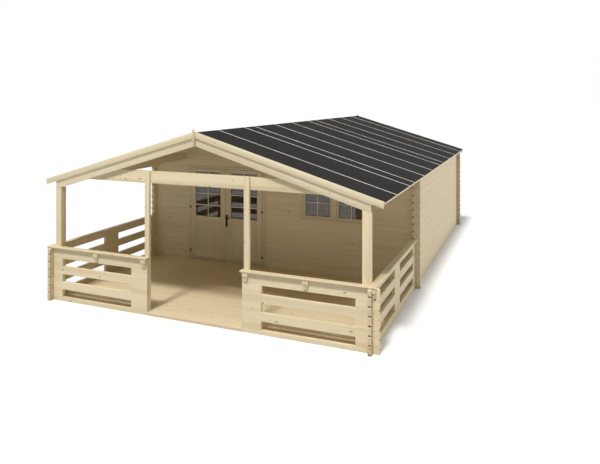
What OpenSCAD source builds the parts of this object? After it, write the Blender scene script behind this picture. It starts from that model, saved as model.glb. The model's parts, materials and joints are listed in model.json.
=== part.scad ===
/* [Overall] */
// Width over the outer faces of the side walls
body_w = 5000; // [4400:10:6000]
// Length from the front rail's face to the back wall's outer face
body_l = 7760; // [6800:10:9400]
// Depth of the veranda, from the front rail's face to the cabin's front wall
veranda_d = 2595; // [2200:5:3200]

/* [Logs] */
// Thickness of a wall log
log_t = 44; // [36:1:56]
// Height of one course of logs
course = 115; // [108:1:126]
// Full courses in a side wall
side_courses = 16; // [15:1:18]
// How far a log runs past the corner it crosses
log_over = 80; // [60:2:110]
// Chamfer along the edges of a log
log_edge = 2; // [1.5:0.5:8]
// Length of the bevels at the free tip of a log
log_tip = 26; // [18:1:34]
// Width of the groove under the free tip of a log
groove_w = 24; // [16:1:28]
// Height of the groove under the free tip of a log
groove_h = 20; // [17:1:24]
// Working gap between pieces that sit on each other
seat = 0.4; // [0.3:0.1:0.6]

/* [Veranda rail] */
// Courses in the rail, with one more half course on top
rail_courses = 6; // [6:2:6]
// Extra height of the rail's top log
rail_lift = 34; // [0:1:44]
// Width of the entrance between the two front rails
entrance_w = 1500; // [1200:10:1800]
// Solid length of a rail at the corner, from the wall's outer face
rail_corner = 215; // [170:5:300]
// Solid length of a front rail at the entrance
rail_end = 272; // [200:2:340]
// Length of the block in the middle of a side rail
rail_stile = 316; // [200:2:400]
// Thickness of the cap on a rail
cap_t = 24; // [20:1:40]
// How far a cap stands out from the rail
cap_over = 45; // [30:1:60]
// How far a front cap runs past its rail at the entrance
cap_end = 17; // [10:1:40]
// Width of a bracket under a cap
bracket_w = 78; // [56:2:96]
// Height of a bracket
bracket_h = 112; // [90:2:140]
// How far a bracket stands out from the rail
bracket_d = 36; // [26:1:46]

/* [Veranda frame] */
// Side of a square corner post
post_w = 100; // [80:2:130]
// Width of an entrance post
entry_post_w = 75; // [60:1:100]
// Thickness of the entrance posts, rafters and tie beam
frame_t = 44; // [36:1:60]
// Height of a front rafter, measured plumb
rafter_h = 166; // [140:2:200]

/* [Roof] */
// Pitch of the roof in degrees
roof_pitch = 16.45; // [15:0.05:20]
// Wood planed off the outer edge of the top side log
top_bevel = 20; // [14:1:30]
// How far the eaves stand out from the side walls
eave_over = 135; // [100:5:180]
// How far the roof runs past the back wall
back_over = 60; // [50:2:100]
// Thickness of the roof boarding
deck_t = 18; // [15:1:24]
// Thickness of the roofing felt
felt_t = 4; // [3:0.5:6]
// Height of a bargeboard, measured plumb
barge_h = 86; // [70:2:125]
// How far a front bargeboard stands over the felt
barge_up = 10; // [0:1:16]
// Thickness of a bargeboard and of a gable finial
barge_t = 20; // [16:1:26]
// Width of a gable finial
finial_w = 42; // [36:2:90]
// Height of a finial's point over the ridge
finial_up = 58; // [30:2:80]
// Height of an eave board
eave_board_h = 22; // [20:1:60]
// Thickness of an eave board
eave_board_t = 18; // [14:1:24]
// Width of a purlin
purlin_w = 60; // [44:2:80]

/* [Floor] */
// Height of the finished floor over the ground
floor_z = 42; // [36:1:52]
// Thickness of the floor boarding
floor_t = 20; // [16:1:26]
// Width of a floor bearer
bearer_w = 60; // [40:2:90]
// Bearers under each floor
bearer_count = 6; // [4:1:8]

/* [Door] */
// Distance of the door's middle to the left of the cabin's middle
door_off = 948; // [850:2:1050]
// Width of one door leaf
leaf_w = 734; // [620:2:780]
// Thickness of a door leaf
leaf_t = 40; // [34:1:48]
// Width of a leaf's stiles
stile_w = 98; // [80:1:120]
// Height of a leaf's top rail
top_rail_h = 58; // [50:1:110]
// Height of a leaf's bottom rail
bottom_rail_h = 130; // [100:2:180]
// Height of a leaf's middle rail
mid_rail_h = 100; // [80:2:140]
// Height of the glass's lower edge over the ground
glass_z = 852; // [780:2:920]
// Gap around a leaf
leaf_gap = 6; // [5:0.5:9]
// Gap between the two leaves where they meet
meet_gap = 8; // [7:0.5:11]
// Width of a door jamb
jamb_w = 58; // [44:1:80]
// How far the door and window frames stand out from the logs
frame_out = 12; // [8:1:20]
// Height of the door's head
head_h = 38; // [30:1:50]
// Width of the stop that a leaf closes against
stop_w = 15; // [10:1:20]
// Thickness of the door's threshold
sill_t = 14; // [10:1:20]
// Radius of a hinge barrel
barrel_r = 8; // [6:0.5:10]
// Height of a hinge
hinge_h = 40; // [36:2:90]
// Length of a hinge plate, from the hinge's axis
hinge_l = 16; // [14:1:40]
// Thickness of a hinge plate
hinge_t = 3; // [2:0.5:4]
// Height of the handle's plate
plate_h = 220; // [160:5:260]
// Width of the handle's plate
plate_w = 38; // [30:1:48]
// Length of the handle's lever
lever_l = 84; // [60:2:140]
// Length of the lever's neck, out from the door
neck_l = 48; // [40:1:60]

/* [Window] */
// Distance of the window's middle to the right of the cabin's middle
win_off = 1135; // [1080:5:1180]
// Width of one casement
casement_w = 521; // [440:1:560]
// Width of the frame's middle post
mullion_w = 81; // [60:1:100]
// Width of the frame's jambs
win_jamb_w = 48; // [36:1:60]
// Height of the frame's top and bottom pieces
win_rail_h = 36; // [28:1:48]
// Course of the log that the window stands in
win_course = 8; // [8:1:9]
// Width of a casement's stiles and rails
sash_w = 33; // [28:1:60]
// Thickness of a casement
sash_t = 36; // [30:1:44]
// Thickness of a glass pane
pane_t = 5; // [4:0.5:8]

/* [Hidden] */
$fn = 48;

// Share of a course that each of the two notches of a crossing takes
notch_share = 1 / 4;
// Shares of a log's tip: the bevel's rise for its length, and the groove's length in the overhang
tip_rise_share = 0.6;
groove_share = 0.7;
// Shares of a course, counted from the wall's top, that place the frame and purlins
tie_top_share = 1.5;
purlin_top_share = 1.5;
ridge_purlin_share = 1.2;
eave_beam_share = 0.8;
// Shares of a front rail's length at which the middle bracket stands
mid_bracket_share = 0.51;
// Shares of a bracket taken by its lower step
step_w_share = 0.76;
step_d_share = 0.6;
step_z_share = 0.5;
// Shares of a leaf's height at which its hinges sit
hinge_shares = [0.08, 0.564, 0.93];
// Share of the handle's plate at which the lever sits, and of a leaf's thickness for its panel
lever_share = 0.74;
panel_share = 0.6;
// Shares of the finial: under the roof's top, up to its shoulder and its neck, and the neck's width
finial_down_share = 1.6;
finial_shoulder_share = 0.2;
finial_neck_share = 0.55;
finial_width_share = 0.5;
// Share of the bargeboard's height by which its end rakes back
barge_rake_share = 0.16;

half_w = body_w / 2;
y_front = -body_l / 2;
y_back = body_l / 2;
y_wall = y_front + veranda_d;
in_x = half_w - log_t - seat;
notch = course * notch_share;
rail_top = (rail_courses + 1 / 2) * course + rail_lift;
groove_l = log_over * groove_share;
wall_top = side_courses * course;
open_top = (side_courses - 1 / 2) * course;
pitch_t = tan(roof_pitch);
ridge_u = wall_top - top_bevel + pitch_t * half_w;
deck_v = deck_t / cos(roof_pitch);
felt_v = felt_t / cos(roof_pitch);
eave_x = half_w + eave_over;
y_post = y_front + log_t + seat;
y_tie = y_post + frame_t + seat;
y_roof0 = y_post;
y_roof1 = y_back + back_over - barge_t - seat;
tie_z1 = wall_top + tie_top_share * course;
purlin_out = (ridge_u - wall_top - purlin_top_share * course) / pitch_t;
purlin_z0 = wall_top + (purlin_top_share - 1) * course;
gable_last = floor(ridge_u / course - 1);

door_c = -door_off;
door_half = leaf_w + meet_gap / 2 + leaf_gap;
door_cut = door_half + jamb_w + seat;
y_frame0 = y_wall - frame_out;
y_frame1 = y_wall + log_t + frame_out;
sill_z = course / 2 + seat / 2;
leaf_z0 = sill_z + sill_t + leaf_gap;
leaf_z1 = open_top - head_h - leaf_gap;
leaf_h = leaf_z1 - leaf_z0;
leaf_x0 = door_c - door_half + leaf_gap;
stop_y = y_frame0 + leaf_t + leaf_gap;
axis_x = door_c - door_half + leaf_gap / 2;
axis_y = y_frame0 - barrel_r - hinge_t * notch_share * 3;
pane_w = leaf_w - 2 * stile_w;

win_half = casement_w + mullion_w / 2 + win_jamb_w + 2 * seat;
win_cut = win_half + seat;
win_z0 = (win_course + notch_share) * course;
win_z1 = open_top - seat / 2;
sash_z0 = win_z0 + win_rail_h + 2 * seat;
sash_z1 = win_z1 - win_rail_h - seat;

function under(x) = ridge_u - pitch_t * abs(x);
function roof_top(x) = under(x) + deck_v + felt_v + seat;
function reach(z) = min(in_x, (ridge_u - seat - z) / pitch_t);

// Height range of a log: across logs start with a half course, side logs with a full one
function across_z0(m) = m == 0 ? 0 : (m - 1 / 2) * course + seat / 2;
function across_z1(m) = (m + 1 / 2) * course - seat / 2;
function side_z0(n) = n == 0 ? 0 : n * course + seat / 2;
function side_z1(n) = (n + 1) * course - seat / 2;

// Outline of a notched log: ends a and b, heights z0 and z1, tip bevels, and the cuts
// in its lower and upper edge, each a list of [from, to] with one depth for all
function outline(a, b, z0, z1, tip_a, tip_b, low, low_d, high, high_d) = concat(
    tip_a > 0 ? [[a, z0 + tip_a * tip_rise_share], [a + tip_a, z0]] : [[a, z0]],
    [for (c = low) each [[c[0], z0], [c[0], z0 + low_d], [c[1], z0 + low_d], [c[1], z0]]],
    tip_b > 0 ? [[b - tip_b, z0], [b, z0 + tip_b * tip_rise_share]] : [[b, z0]],
    tip_b > 0 ? [[b, z1 - tip_b * tip_rise_share], [b - tip_b, z1]] : [[b, z1]],
    [for (i = [len(high) - 1:-1:0]) each [[high[i][1], z1], [high[i][1], z1 - high_d],
        [high[i][0], z1 - high_d], [high[i][0], z1]]],
    tip_a > 0 ? [[a + tip_a, z1], [a, z1 - tip_a * tip_rise_share]] : [[a, z1]]);

// Section of a log with its chamfered edges
function section(a, z0, z1) = [[a + log_edge, z0], [a + log_t - log_edge, z0],
    [a + log_t, z0 + log_edge], [a + log_t, z1 - log_edge], [a + log_t - log_edge, z1],
    [a + log_edge, z1], [a, z1 - log_edge], [a, z0 + log_edge]];

// A plate drawn in X and Z and run along Y, and one drawn in Y and Z and run along X
module along_y(points, y0, y1) {
    translate([0, y1, 0]) rotate([90, 0, 0]) linear_extrude(height = y1 - y0) polygon(points);
}
module along_x(points, x0, x1) {
    translate([x0, 0, 0]) rotate([90, 0, 90]) linear_extrude(height = x1 - x0) polygon(points);
}
module box(x0, x1, y0, y1, z0, z1) {
    translate([x0, y0, z0]) cube([x1 - x0, y1 - y0, z1 - z0]);
}
module both_sides() {
    children();
    mirror([1, 0, 0]) children();
}

// A log that runs across the cabin, its outer face at y
module across_log(a, b, y, z0, z1, tip_a, tip_b, low, low_d, high, high_d) {
    y0 = y + (log_t - groove_w) / 2;
    difference() {
        intersection() {
            along_y(outline(a, b, z0, z1, tip_a, tip_b, low, low_d, high, high_d), y, y + log_t);
            along_x(section(y, z0, z1), a, b);
        }
        if (tip_a > 0) box(a - seat, a + groove_l, y0, y0 + groove_w, z0 - seat, z0 + groove_h);
        if (tip_b > 0) box(b - groove_l, b + seat, y0, y0 + groove_w, z0 - seat, z0 + groove_h);
    }
}

// The grooves under the tips of a log that runs front to back in the right-hand wall
module side_grooves(a, b, z0, tip_a, tip_b) {
    x0 = half_w - (log_t + groove_w) / 2;
    if (tip_a > 0) box(x0, x0 + groove_w, a - seat, a + groove_l, z0 - seat, z0 + groove_h);
    if (tip_b > 0) box(x0, x0 + groove_w, b - groove_l, b + seat, z0 - seat, z0 + groove_h);
}

// A log that runs front to back in the right-hand wall
module side_log(a, b, z0, z1, tip_a, tip_b, low, low_d, high, high_d) {
    difference() {
        intersection() {
            along_x(outline(a, b, z0, z1, tip_a, tip_b, low, low_d, high, high_d), half_w - log_t, half_w);
            along_y(section(half_w - log_t, z0, z1), a, b);
        }
        side_grooves(a, b, z0, tip_a, tip_b);
    }
}

// The crossing cuts of an across log, at the left and right wall, and of a side log at y
left_cut = [-half_w - seat, -half_w + log_t + seat];
right_cut = [half_w - log_t - seat, half_w + seat];
function y_cut(y) = [y - seat, y + log_t + seat];

// One course of the cabin's front or back wall from a to b, with its corner notches
module wall_course(m, a, b, y, gap) {
    at_left = a < -half_w;
    at_right = b > half_w;
    corner = concat(at_left ? [left_cut] : [], gap, at_right ? [right_cut] : []);
    low = concat(at_left ? [left_cut] : [], at_right ? [right_cut] : []);
    across_log(a, b, y, across_z0(m), across_z1(m), at_left ? log_tip : 0, at_right ? log_tip : 0,
        m == 0 ? [] : low, notch, corner, notch);
}

// One course of a gable, cut to the roof's slope and around the purlins
module gable_course(m, y) {
    z0 = across_z0(m);
    z1 = m == gable_last ? ridge_u - seat : across_z1(m);
    knee = under(in_x) - seat;
    r0 = reach(z0);
    r1 = m == gable_last ? 0 : reach(z1);
    right = knee > z0 && r0 == in_x ? [[r0, z0], [in_x, knee]] : [[r0, z0]];
    top = r1 > 0 ? [[r1, z1], [-r1, z1]] : [[0, z1]];
    left = knee > z0 && r0 == in_x ? [[-in_x, knee], [-r0, z0]] : [[-r0, z0]];
    difference() {
        intersection() {
            along_y(concat(right, top, left), y, y + log_t);
            along_x(section(y, z0, z1 + (m == gable_last ? log_edge : 0)), -half_w, half_w);
        }
        both_sides()
            box(purlin_out - purlin_w - seat, purlin_out + 2 * seat, y - seat, y + log_t + seat,
                purlin_z0 - seat, ridge_u);
        box(-purlin_w / 2 - seat, purlin_w / 2 + seat, y - seat, y + log_t + seat,
            ridge_u - ridge_purlin_share * course - seat, ridge_u);
    }
}

module front_wall_logs() {
    color("burlywood") {
        wall_course(0, -half_w - log_over, half_w + log_over, y_wall, []);
        for (m = [1:side_courses - 1]) {
            wall_course(m, -half_w - log_over, door_c - door_cut, y_wall, []);
            if (m < win_course)
                wall_course(m, door_c + door_cut, half_w + log_over, y_wall, []);
            if (m == win_course)
                wall_course(m, door_c + door_cut, half_w + log_over, y_wall,
                    [[win_off - win_cut, win_off + win_cut]]);
            if (m > win_course) {
                wall_course(m, door_c + door_cut, win_off - win_cut, y_wall, []);
                wall_course(m, win_off + win_cut, half_w + log_over, y_wall, []);
            }
        }
        for (m = [side_courses:gable_last]) gable_course(m, y_wall);
    }
}

module back_wall_logs() {
    color("burlywood") {
        for (m = [0:side_courses - 1])
            wall_course(m, -half_w - log_over, half_w + log_over, y_back - log_t, []);
        for (m = [side_courses:gable_last]) gable_course(m, y_back - log_t);
    }
}

// The cabin's side wall, its top log planed to the slope of the roof
module side_wall() {
    a = y_wall - log_over;
    b = y_back + log_over;
    cuts = [y_cut(y_wall), y_cut(y_back - log_t)];
    for (n = [0:side_courses - 2])
        side_log(a, b, side_z0(n), side_z1(n), log_tip, log_tip,
            cuts, n == 0 ? notch + seat / 2 : notch, cuts, notch);
    z0 = side_z0(side_courses - 1);
    x0 = half_w - log_t;
    difference() {
        intersection() {
            along_x(outline(a, y_roof1, z0, wall_top, log_tip, 0, cuts, notch, [], 0), x0, half_w);
            along_y([[x0 + log_edge, z0], [half_w - log_edge, z0], [half_w, z0 + log_edge],
                [half_w, under(half_w) - seat], [x0, under(x0) - seat], [x0, z0 + log_edge]], a, b);
        }
        side_grooves(a, b, z0, log_tip, 0);
    }
}
module right_wall_logs() {
    color("burlywood") side_wall();
}
module left_wall_logs() {
    color("burlywood") mirror([1, 0, 0]) side_wall();
}

// Front rail: a half log, then every other course runs through and leaves a slot between
rail_in = entrance_w / 2;
rail_out = half_w + log_over;
module front_rail_logs() {
    color("wheat") both_sides() for (m = [0:2:rail_courses]) {
        lift = m == rail_courses ? rail_lift : 0;
        across_log(rail_in, rail_out, y_front, across_z0(m), across_z1(m) + lift, 0, log_tip,
            m == 0 ? [] : [right_cut], notch, [right_cut], notch + lift);
    }
}
module front_rail_blocks() {
    color("wheat") both_sides() for (m = [1:2:rail_courses - 1]) {
        across_log(rail_in, rail_in + rail_end, y_front, across_z0(m), across_z1(m), 0, 0, [], 0, [], 0);
        across_log(half_w - rail_corner, rail_out, y_front, across_z0(m), across_z1(m), 0, log_tip,
            [right_cut], notch, [right_cut], notch);
    }
}

// Side rail: starts with a full log and ends against the cabin wall's crossing logs
side_a = y_front - log_over;
side_b = y_wall - log_over - seat;
slot_a = y_front + rail_corner;
slot_b = side_b - rail_corner + log_t + log_over;
slot_m = (slot_a + slot_b) / 2;
module side_rail_logs() {
    cut = [y_cut(y_front)];
    color("wheat") both_sides() {
        for (n = [0:2:rail_courses - 2])
            side_log(side_a, side_b, side_z0(n), side_z1(n), log_tip, 0,
                cut, n == 0 ? notch + seat / 2 : notch, cut, notch);
        side_log(side_a, side_b, side_z0(rail_courses), rail_top - seat / 2, log_tip, 0, cut, notch, [], 0);
    }
}
module side_rail_blocks() {
    cut = [y_cut(y_front)];
    color("wheat") both_sides() for (n = [1:2:rail_courses - 1]) {
        side_log(side_a, slot_a, side_z0(n), side_z1(n), log_tip, 0, cut, notch, cut, notch);
        side_log(slot_m - rail_stile / 2, slot_m + rail_stile / 2, side_z0(n), side_z1(n),
            0, 0, [], 0, [], 0);
        side_log(slot_b, side_b, side_z0(n), side_z1(n), 0, 0, [], 0, [], 0);
    }
}

// Caps: rounded at their front edge
module cap_section(len) {
    r = cap_t / 2;
    translate([r, r]) circle(r);
    translate([r, 0]) square([len - r, cap_t]);
}
module front_rail_caps() {
    color("wheat") both_sides()
        translate([rail_in - cap_end, y_front - cap_over, rail_top + seat / 2])
            rotate([90, 0, 90]) linear_extrude(height = half_w - rail_in + cap_over + cap_end)
                cap_section(cap_over + log_t);
}
module side_rail_caps() {
    color("wheat") both_sides()
        translate([half_w + cap_over, side_b, rail_top + seat / 2])
            mirror([1, 0, 0]) rotate([90, 0, 0]) linear_extrude(height = side_b - y_post)
                cap_section(cap_over + log_t);
}

// Brackets under the front caps, in two steps
module bracket(x, w) {
    z0 = rail_top - bracket_h;
    zm = z0 + bracket_h * step_z_share;
    box(x - w / 2, x + w / 2, y_front - bracket_d, y_front - seat, zm, rail_top - seat / 2);
    box(x - w * step_w_share / 2, x + w * step_w_share / 2, y_front - bracket_d * step_d_share,
        y_front - seat, z0, zm);
}
module rail_brackets() {
    color("wheat") both_sides() {
        bracket(rail_in + bracket_w / 2 + cap_t / 2, bracket_w);
        bracket(rail_in + (half_w - rail_in) * mid_bracket_share, bracket_w);
        bracket(half_w + log_t / 2 + seat, log_t);
    }
}

module corner_posts() {
    x0 = in_x - post_w;
    color("wheat") both_sides()
        along_y([[x0, floor_z + seat], [in_x, floor_z + seat], [in_x, under(in_x) - rafter_h - seat],
            [x0, under(x0) - rafter_h - seat]], y_post, y_post + post_w);
}
module entrance_posts() {
    color("wheat") both_sides()
        box(rail_in, rail_in + entry_post_w, y_post, y_post + frame_t, floor_z + seat, tie_z1);
}

// The tie beam lies behind the posts and rafters, its ends cut to the slope
module tie_beam() {
    x_end = in_x - post_w - seat;
    x_top = (ridge_u - seat - tie_z1) / pitch_t;
    color("wheat") along_y([[-x_end, wall_top], [x_end, wall_top], [x_end, under(x_end) - seat],
        [x_top, tie_z1], [-x_top, tie_z1], [-x_end, under(x_end) - seat]], y_tie, y_tie + frame_t);
}
module gable_rafters() {
    color("wheat") both_sides()
        along_y([[seat / 2, under(0) - rafter_h], [in_x, under(in_x) - rafter_h],
            [in_x, under(in_x) - seat], [seat / 2, under(0) - seat]], y_post, y_post + frame_t);
}

// Beams that carry the eaves of the veranda, from the corner posts to the cabin
module eave_beams() {
    x0 = in_x - log_t;
    z0 = wall_top - eave_beam_share * course;
    color("wheat") both_sides()
        along_y([[x0, z0], [in_x, z0], [in_x, under(in_x) - seat], [x0, under(x0) - seat]],
            y_post + post_w + seat, y_wall - seat);
}
module ridge_purlin() {
    x = purlin_w / 2;
    z0 = ridge_u - ridge_purlin_share * course;
    color("burlywood") along_y([[-x, z0], [x, z0], [x, under(x) - seat], [0, ridge_u - seat],
        [-x, under(x) - seat]], y_tie, y_roof1);
}
module side_purlins() {
    x0 = purlin_out - purlin_w;
    z0 = purlin_z0 + seat / 2;
    color("burlywood") both_sides()
        along_y([[x0, z0], [purlin_out, z0], [purlin_out, under(purlin_out) - seat],
            [x0, under(x0) - seat]], y_tie + frame_t + seat, y_roof1);
}

module roof_deck() {
    x0 = seat / 2;
    x1 = eave_x - eave_board_t - seat;
    along_y([[x0, under(x0)], [x1, under(x1)], [x1, under(x1) + deck_v], [x0, under(x0) + deck_v]],
        y_roof0, y_roof1);
}
module right_roof_deck() {
    color("tan") roof_deck();
}
module left_roof_deck() {
    color("tan") mirror([1, 0, 0]) roof_deck();
}
module roof_felt() {
    x0 = seat / 2;
    z = deck_v + seat;
    along_y([[x0, under(x0) + z], [eave_x, under(eave_x) + z], [eave_x, under(eave_x) + z + felt_v],
        [x0, under(x0) + z + felt_v]], y_roof0, y_roof1);
}
module right_roof_felt() {
    color("dimgray") roof_felt();
}
module left_roof_felt() {
    color("dimgray") mirror([1, 0, 0]) roof_felt();
}

// Bargeboards: the front ones stand a little over the felt, their ends rake back at the eave
module bargeboard(y, up) {
    x0 = seat / 2;
    x1 = eave_x - barge_h * barge_rake_share;
    along_y([[x0, roof_top(x0) + up - barge_h], [x1, roof_top(x1) + up - barge_h],
        [eave_x, roof_top(eave_x) + up], [x0, roof_top(x0) + up]], y, y + barge_t);
}
module front_bargeboards() {
    color("wheat") both_sides() bargeboard(y_roof0 - seat - barge_t, barge_up);
}
module back_bargeboards() {
    color("wheat") both_sides() bargeboard(y_roof1 + seat, 0);
}
module finial(y) {
    x = finial_w / 2;
    z1 = roof_top(0) + finial_up;
    zs = roof_top(0) + finial_up * finial_shoulder_share;
    zn = roof_top(0) + finial_up * finial_neck_share;
    z0 = roof_top(0) - barge_h * finial_down_share;
    xn = x * finial_width_share;
    along_y([[-x, z0], [x, z0], [x, zs], [xn, zn], [0, z1], [-xn, zn], [-x, zs]], y, y + barge_t);
}
module gable_finials() {
    color("wheat") {
        finial(y_roof0 - 2 * seat - 2 * barge_t);
        finial(y_roof1 + 2 * seat + barge_t);
    }
}
module eave_boards() {
    x0 = eave_x - eave_board_t;
    color("wheat") both_sides()
        along_y([[x0, under(eave_x) + deck_v - eave_board_h], [eave_x, under(eave_x) + deck_v - eave_board_h],
            [eave_x, under(eave_x) + deck_v], [x0, under(x0) + deck_v]], y_roof0, y_roof1);
}

module veranda_floor() {
    color("tan") box(-in_x, in_x, y_post, y_wall - seat, floor_z - floor_t, floor_z);
}
module cabin_floor() {
    color("tan") box(-in_x, in_x, y_wall + log_t + seat, y_back - log_t - seat, floor_z - floor_t, floor_z);
}
module floor_bearers() {
    step = (2 * in_x - bearer_w) / (bearer_count - 1);
    color("tan") for (i = [0:bearer_count - 1]) {
        x0 = -in_x + i * step;
        box(x0, x0 + bearer_w, y_post, y_wall - seat, 0, floor_z - floor_t - seat);
        box(x0, x0 + bearer_w, y_wall + log_t + seat, y_back - log_t - seat, 0, floor_z - floor_t - seat);
    }
}
module entrance_sill() {
    color("tan") box(-rail_in + seat, rail_in - seat, y_front, y_front + log_t, 0, floor_z);
}

// Door: jambs with a stop, head, threshold and two leaves that open onto the veranda
module at_door() {
    children();
    translate([2 * door_c, 0, 0]) mirror([1, 0, 0]) children();
}
module door_jambs() {
    x1 = door_c - door_half;
    z0 = sill_z;
    color("wheat") at_door() translate([0, 0, z0])
        linear_extrude(height = open_top - head_h - seat - z0)
            polygon([[x1 - jamb_w, y_frame0], [x1, y_frame0], [x1, stop_y], [x1 + stop_w, stop_y],
                [x1 + stop_w, y_frame1], [x1 - jamb_w, y_frame1]]);
}
module door_head() {
    x = door_half + jamb_w;
    xs = door_half - stop_w - seat;
    color("wheat") {
        box(door_c - x, door_c + x, y_frame0, y_frame1, open_top - head_h, open_top - seat / 2);
        box(door_c - xs, door_c + xs, stop_y, y_frame1, open_top - head_h - stop_w, open_top - head_h);
    }
}
module door_threshold() {
    x = door_half - stop_w - seat;
    color("tan") box(door_c - x, door_c + x, y_frame0, y_frame1, sill_z, sill_z + sill_t);
}

// One leaf: two stiles, three rails between them and a thinner panel below the glass
module door_leaf() {
    xa = leaf_x0 + stile_w;
    xb = leaf_x0 + leaf_w - stile_w;
    y1 = y_frame0 + leaf_t;
    zm = glass_z - mid_rail_h;
    zb = leaf_z0 + bottom_rail_h;
    yp = leaf_t * (1 - panel_share) / 2;
    box(leaf_x0, xa - seat, y_frame0, y1, leaf_z0, leaf_z1);
    box(xb + seat, leaf_x0 + leaf_w, y_frame0, y1, leaf_z0, leaf_z1);
    box(xa, xb, y_frame0, y1, leaf_z0, zb);
    box(xa, xb, y_frame0, y1, zm, glass_z);
    box(xa, xb, y_frame0, y1, leaf_z1 - top_rail_h, leaf_z1);
    box(xa, xb, y_frame0 + yp, y1 - yp, zb + seat, zm - seat);
}
module left_door_leaf() {
    color("wheat") door_leaf();
}
module right_door_leaf() {
    color("wheat") translate([2 * door_c, 0, 0]) mirror([1, 0, 0]) door_leaf();
}
module leaf_glass() {
    y = y_frame0 + leaf_t / 2;
    box(leaf_x0 + stile_w, leaf_x0 + stile_w + pane_w, y - pane_t / 2, y + pane_t / 2,
        glass_z + seat, leaf_z1 - top_rail_h - seat);
}
module left_door_glass() {
    color("lightsteelblue", 0.5) leaf_glass();
}
module right_door_glass() {
    color("lightsteelblue", 0.5) translate([2 * door_c, 0, 0]) mirror([1, 0, 0]) leaf_glass();
}

// Hinges of the left leaf: a plate on a face, a neck and half of the barrel
module hinge_half(side, lower) {
    plate_y = y_frame0 - seat / 2 - hinge_t;
    near = barrel_r + leaf_gap / 3;
    half = hinge_h / 2 - seat / 2;
    for (s = hinge_shares) translate([axis_x, 0, leaf_z0 + s * leaf_h]) {
        x0 = side > 0 ? near : -hinge_l;
        z0 = lower ? -hinge_h / 2 : seat / 2;
        box(x0, x0 + hinge_l - near, plate_y, plate_y + hinge_t, -hinge_h / 2, hinge_h / 2);
        box(side > 0 ? 0 : -near, side > 0 ? near : 0, plate_y, plate_y + hinge_t, z0, z0 + half);
        translate([0, axis_y, z0]) cylinder(r = barrel_r, h = half);
    }
}
module frame_hinges() {
    color("black") at_door() hinge_half(-1, true);
}
module left_leaf_hinges() {
    color("black") hinge_half(1, false);
}
module right_leaf_hinges() {
    color("black") translate([2 * door_c, 0, 0]) mirror([1, 0, 0]) hinge_half(1, false);
}

// Lever handle on the right leaf's meeting stile, one on each face
module handle(y, out) {
    x = door_c + meet_gap / 2 + plate_w / 2 + hinge_t;
    z0 = glass_z + plate_w - plate_h + barrel_r * 4;
    zl = z0 + plate_h * lever_share;
    reach_y = neck_l * out;
    y0 = y + seat / 2 * out;
    translate([0, min(y0, y0 + 2 * hinge_t * out), 0])
        box(x - plate_w / 2, x + plate_w / 2, 0, 2 * hinge_t, z0, z0 + plate_h);
    translate([x, min(y0, y0 + reach_y), zl]) rotate([-90, 0, 0]) cylinder(r = barrel_r, h = neck_l);
    translate([x - barrel_r, y0 + reach_y - barrel_r * out, zl]) rotate([0, 90, 0])
        cylinder(r = barrel_r, h = lever_l);
    translate([x, min(y0, y0 + barrel_r * out * 1.5), z0 + plate_h * (1 - lever_share)])
        rotate([-90, 0, 0]) cylinder(r = barrel_r, h = barrel_r * 1.5);
}
module door_handle() {
    color("black") {
        handle(y_frame0, -1);
        handle(y_frame0 + leaf_t, 1);
    }
}

// Window: a frame with a middle post and two casements
module window_frame() {
    zi0 = win_z0 + seat / 2;
    color("wheat") {
        for (x = [win_off - win_half, win_off + win_half - win_jamb_w])
            box(x, x + win_jamb_w, y_frame0, y_frame1, zi0 + win_rail_h + seat, win_z1 - win_rail_h - seat);
        box(win_off - mullion_w / 2, win_off + mullion_w / 2, y_frame0, y_frame1,
            zi0 + win_rail_h + seat, win_z1 - win_rail_h - seat);
        box(win_off - win_half, win_off + win_half, y_frame0, y_frame1, zi0, zi0 + win_rail_h);
        box(win_off - win_half, win_off + win_half, y_frame0, y_frame1, win_z1 - win_rail_h, win_z1);
    }
}
module at_casements() {
    for (x = [win_off - mullion_w / 2 - seat - casement_w, win_off + mullion_w / 2 + seat])
        translate([x, 0, 0]) children();
}
module window_casements() {
    y0 = y_frame0 + frame_out;
    xb = casement_w - sash_w;
    color("wheat") at_casements() {
        box(0, sash_w - seat, y0, y0 + sash_t, sash_z0, sash_z1);
        box(xb + seat, casement_w, y0, y0 + sash_t, sash_z0, sash_z1);
        box(sash_w, xb, y0, y0 + sash_t, sash_z0, sash_z0 + sash_w);
        box(sash_w, xb, y0, y0 + sash_t, sash_z1 - sash_w, sash_z1);
    }
}
module window_glass() {
    y = y_frame0 + frame_out + sash_t / 2;
    color("lightsteelblue", 0.5) at_casements()
        box(sash_w, casement_w - sash_w, y - pane_t / 2, y + pane_t / 2,
            sash_z0 + sash_w + seat, sash_z1 - sash_w - seat);
}

veranda_floor();
cabin_floor();
floor_bearers();
entrance_sill();
front_wall_logs();
back_wall_logs();
left_wall_logs();
right_wall_logs();
front_rail_logs();
front_rail_blocks();
side_rail_logs();
side_rail_blocks();
front_rail_caps();
side_rail_caps();
rail_brackets();
corner_posts();
entrance_posts();
tie_beam();
gable_rafters();
eave_beams();
ridge_purlin();
side_purlins();
left_roof_deck();
right_roof_deck();
left_roof_felt();
right_roof_felt();
front_bargeboards();
back_bargeboards();
gable_finials();
eave_boards();
door_jambs();
door_head();
door_threshold();
left_door_leaf();
right_door_leaf();
left_door_glass();
right_door_glass();
frame_hinges();
left_leaf_hinges();
right_leaf_hinges();
door_handle();
window_frame();
window_casements();
window_glass();
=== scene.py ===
"""Dresses the log cabin: pine timbers, roof felt, glazing and ironmongery, in a pale studio."""

import json
import logging
import math
import random
import zlib
from dataclasses import dataclass, field
from enum import Enum
from typing import Callable, Iterator, Optional, Sequence, Union

import bmesh
import bpy
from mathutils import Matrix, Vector, noise

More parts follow.
